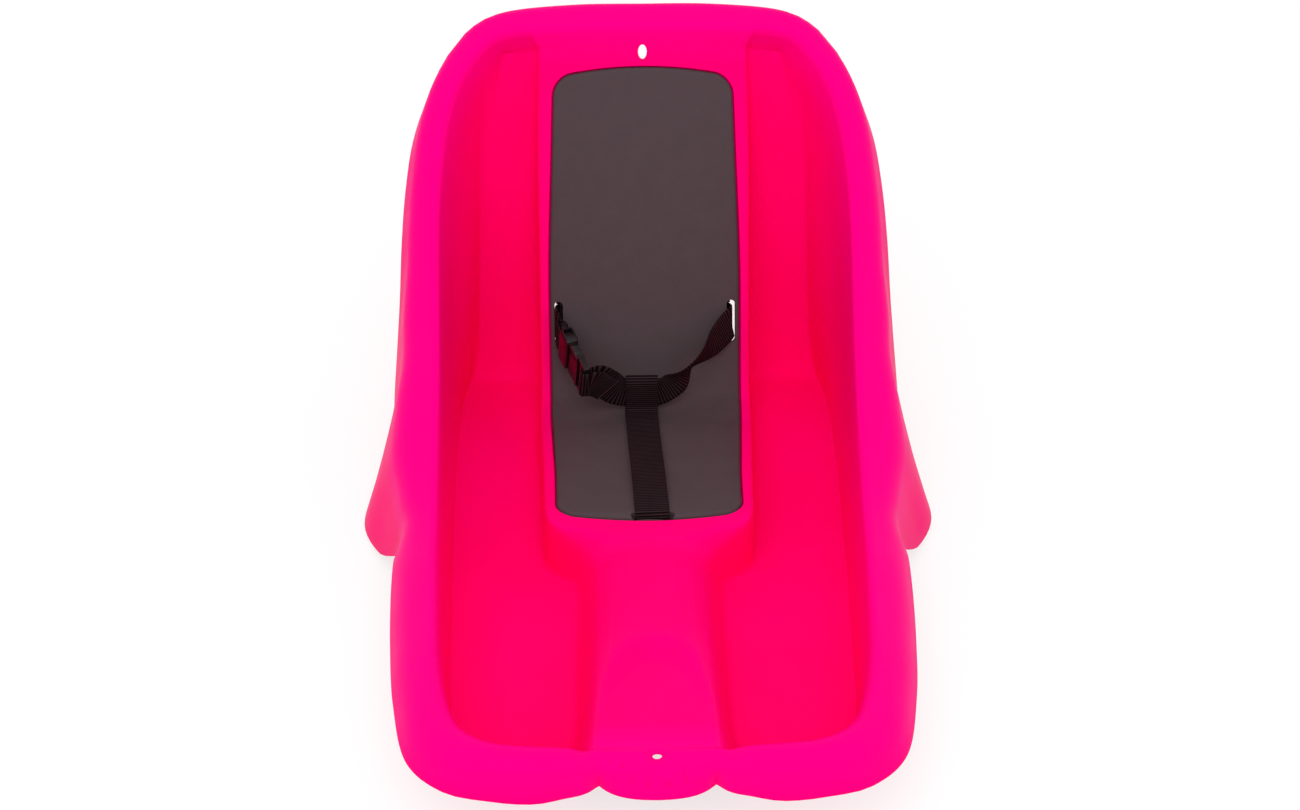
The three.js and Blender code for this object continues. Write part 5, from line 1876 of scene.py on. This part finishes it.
class SLED_OT_stage(bpy.types.Operator):
    """Set the floor, the lights, the background and the camera"""

    bl_idname = "sled.stage"
    bl_label = "Studio"

    def execute(self, context):
        scene = context.scene
        stage = scene.sled_stage
        scene.view_settings.view_transform = "Standard"
        self.background(scene, stage)
        self.floor(stage)
        for name, power_key, place, size in LIGHTS:
            lamp = bpy.data.lights.new(name, "AREA")
            lamp.shape = "DISK"
            lamp.size = size
            lamp.energy = getattr(stage, power_key)
            aimed(name, lamp, place, LIGHT_AIM)
        view = bpy.data.cameras.new("camera")
        view.sensor_fit = "HORIZONTAL"
        view.sensor_width = SENSOR
        view.lens = stage.lens
        scene.camera = aimed("camera", view, CAMERA_PLACE, CAMERA_TARGET)
        return {"FINISHED"}

    def background(self, scene, stage):
        """Even light from all round that the camera sees as white."""
        world = bpy.data.worlds.new("studio")
        scene.world = world
        world.use_nodes = True
        build = Nodes(world.node_tree)
        light = world.node_tree.nodes["Background"]
        light.inputs["Color"].default_value = (1, 1, 1, 1)
        strength = build.spread(build.in_sight(), stage.sky, 1.0)
        build.put(strength, light.inputs["Strength"])

    def floor(self, stage):
        """A pale floor that keeps the sled's shadow."""
        corners = [(x * FLOOR_REACH, y * FLOOR_REACH, 0)
                   for x, y in ((-1, -1), (1, -1), (1, 1), (-1, 1))]
        floor = new_object("floor", corners, [(0, 1, 2, 3)])
        made = bpy.data.materials.new("floor")
        made.use_nodes = True
        build = Nodes(made.node_tree)
        shader = made.node_tree.nodes["Principled BSDF"]
        shader.inputs["Base Color"].default_value = FLOOR_GREY
        shader.inputs["Roughness"].default_value = 0.9
        glow = build.add("ShaderNodeEmission")
        glow.inputs["Strength"].default_value = FLOOR_WHITE - stage.floor
        shade = build.add("ShaderNodeBsdfDiffuse")
        shade.inputs["Color"].default_value = solid([stage.floor] * 3)
        seen = build.add("ShaderNodeAddShader")
        build.put(glow.outputs[0], seen.inputs[0])
        build.put(shade.outputs[0], seen.inputs[1])
        chosen = build.add("ShaderNodeMixShader")
        build.put(build.in_sight(), chosen.inputs["Fac"])
        build.put(shader.outputs[0], chosen.inputs[1])
        build.put(seen.outputs[0], chosen.inputs[2])
        out = made.node_tree.nodes["Material Output"]
        build.put(chosen.outputs[0], out.inputs["Surface"])
        floor.data.materials.append(made)


class SLED_PT_panel(bpy.types.Panel):
    """The sled's sizes, finishes and building steps"""

    bl_idname = "SLED_PT_panel"
    bl_label = "Pull sled"
    bl_space_type = "VIEW_3D"
    bl_region_type = "UI"
    bl_category = "Sled"

    def draw(self, context):
        for name, title, _ in GROUPS:
            box = self.layout.box()
            box.label(text=title)
            owner = getattr(context.scene, name)
            for key in owner.__annotations__:
                box.prop(owner, key)
        for step in OPERATORS:
            self.layout.operator(step.bl_idname)


OPERATORS = (
    SLED_OT_shell, SLED_OT_pad, SLED_OT_crotch_strap, SLED_OT_lap_straps, SLED_OT_buckle,
    SLED_OT_anchors, SLED_OT_stage,
)
GROUPS = (
    ("sled_body", "Body", SledBodySizes), ("sled_harness", "Harness", SledHarnessSizes),
    ("sled_finish", "Finish", SledFinish), ("sled_stage", "Studio", SledStage),
)


def register():
    """Adds the classes and the scene's property groups."""
    for name, _, owner in GROUPS:
        bpy.utils.register_class(owner)
        setattr(bpy.types.Scene, name, PointerProperty(type=owner))
    for owner in (*OPERATORS, SLED_PT_panel):
        bpy.utils.register_class(owner)


def unregister():
    """Removes what register added."""
    for owner in reversed((*OPERATORS, SLED_PT_panel)):
        bpy.utils.unregister_class(owner)
    for name, _, owner in reversed(GROUPS):
        delattr(bpy.types.Scene, name)
        bpy.utils.unregister_class(owner)


def main():
    """Builds the sled and its studio."""
    register()
    for step in (bpy.ops.sled.shell, bpy.ops.sled.pad, bpy.ops.sled.crotch_strap,
                 bpy.ops.sled.lap_straps, bpy.ops.sled.buckle, bpy.ops.sled.anchors,
                 bpy.ops.sled.stage):
        step()


if __name__ == "__main__":
    main()
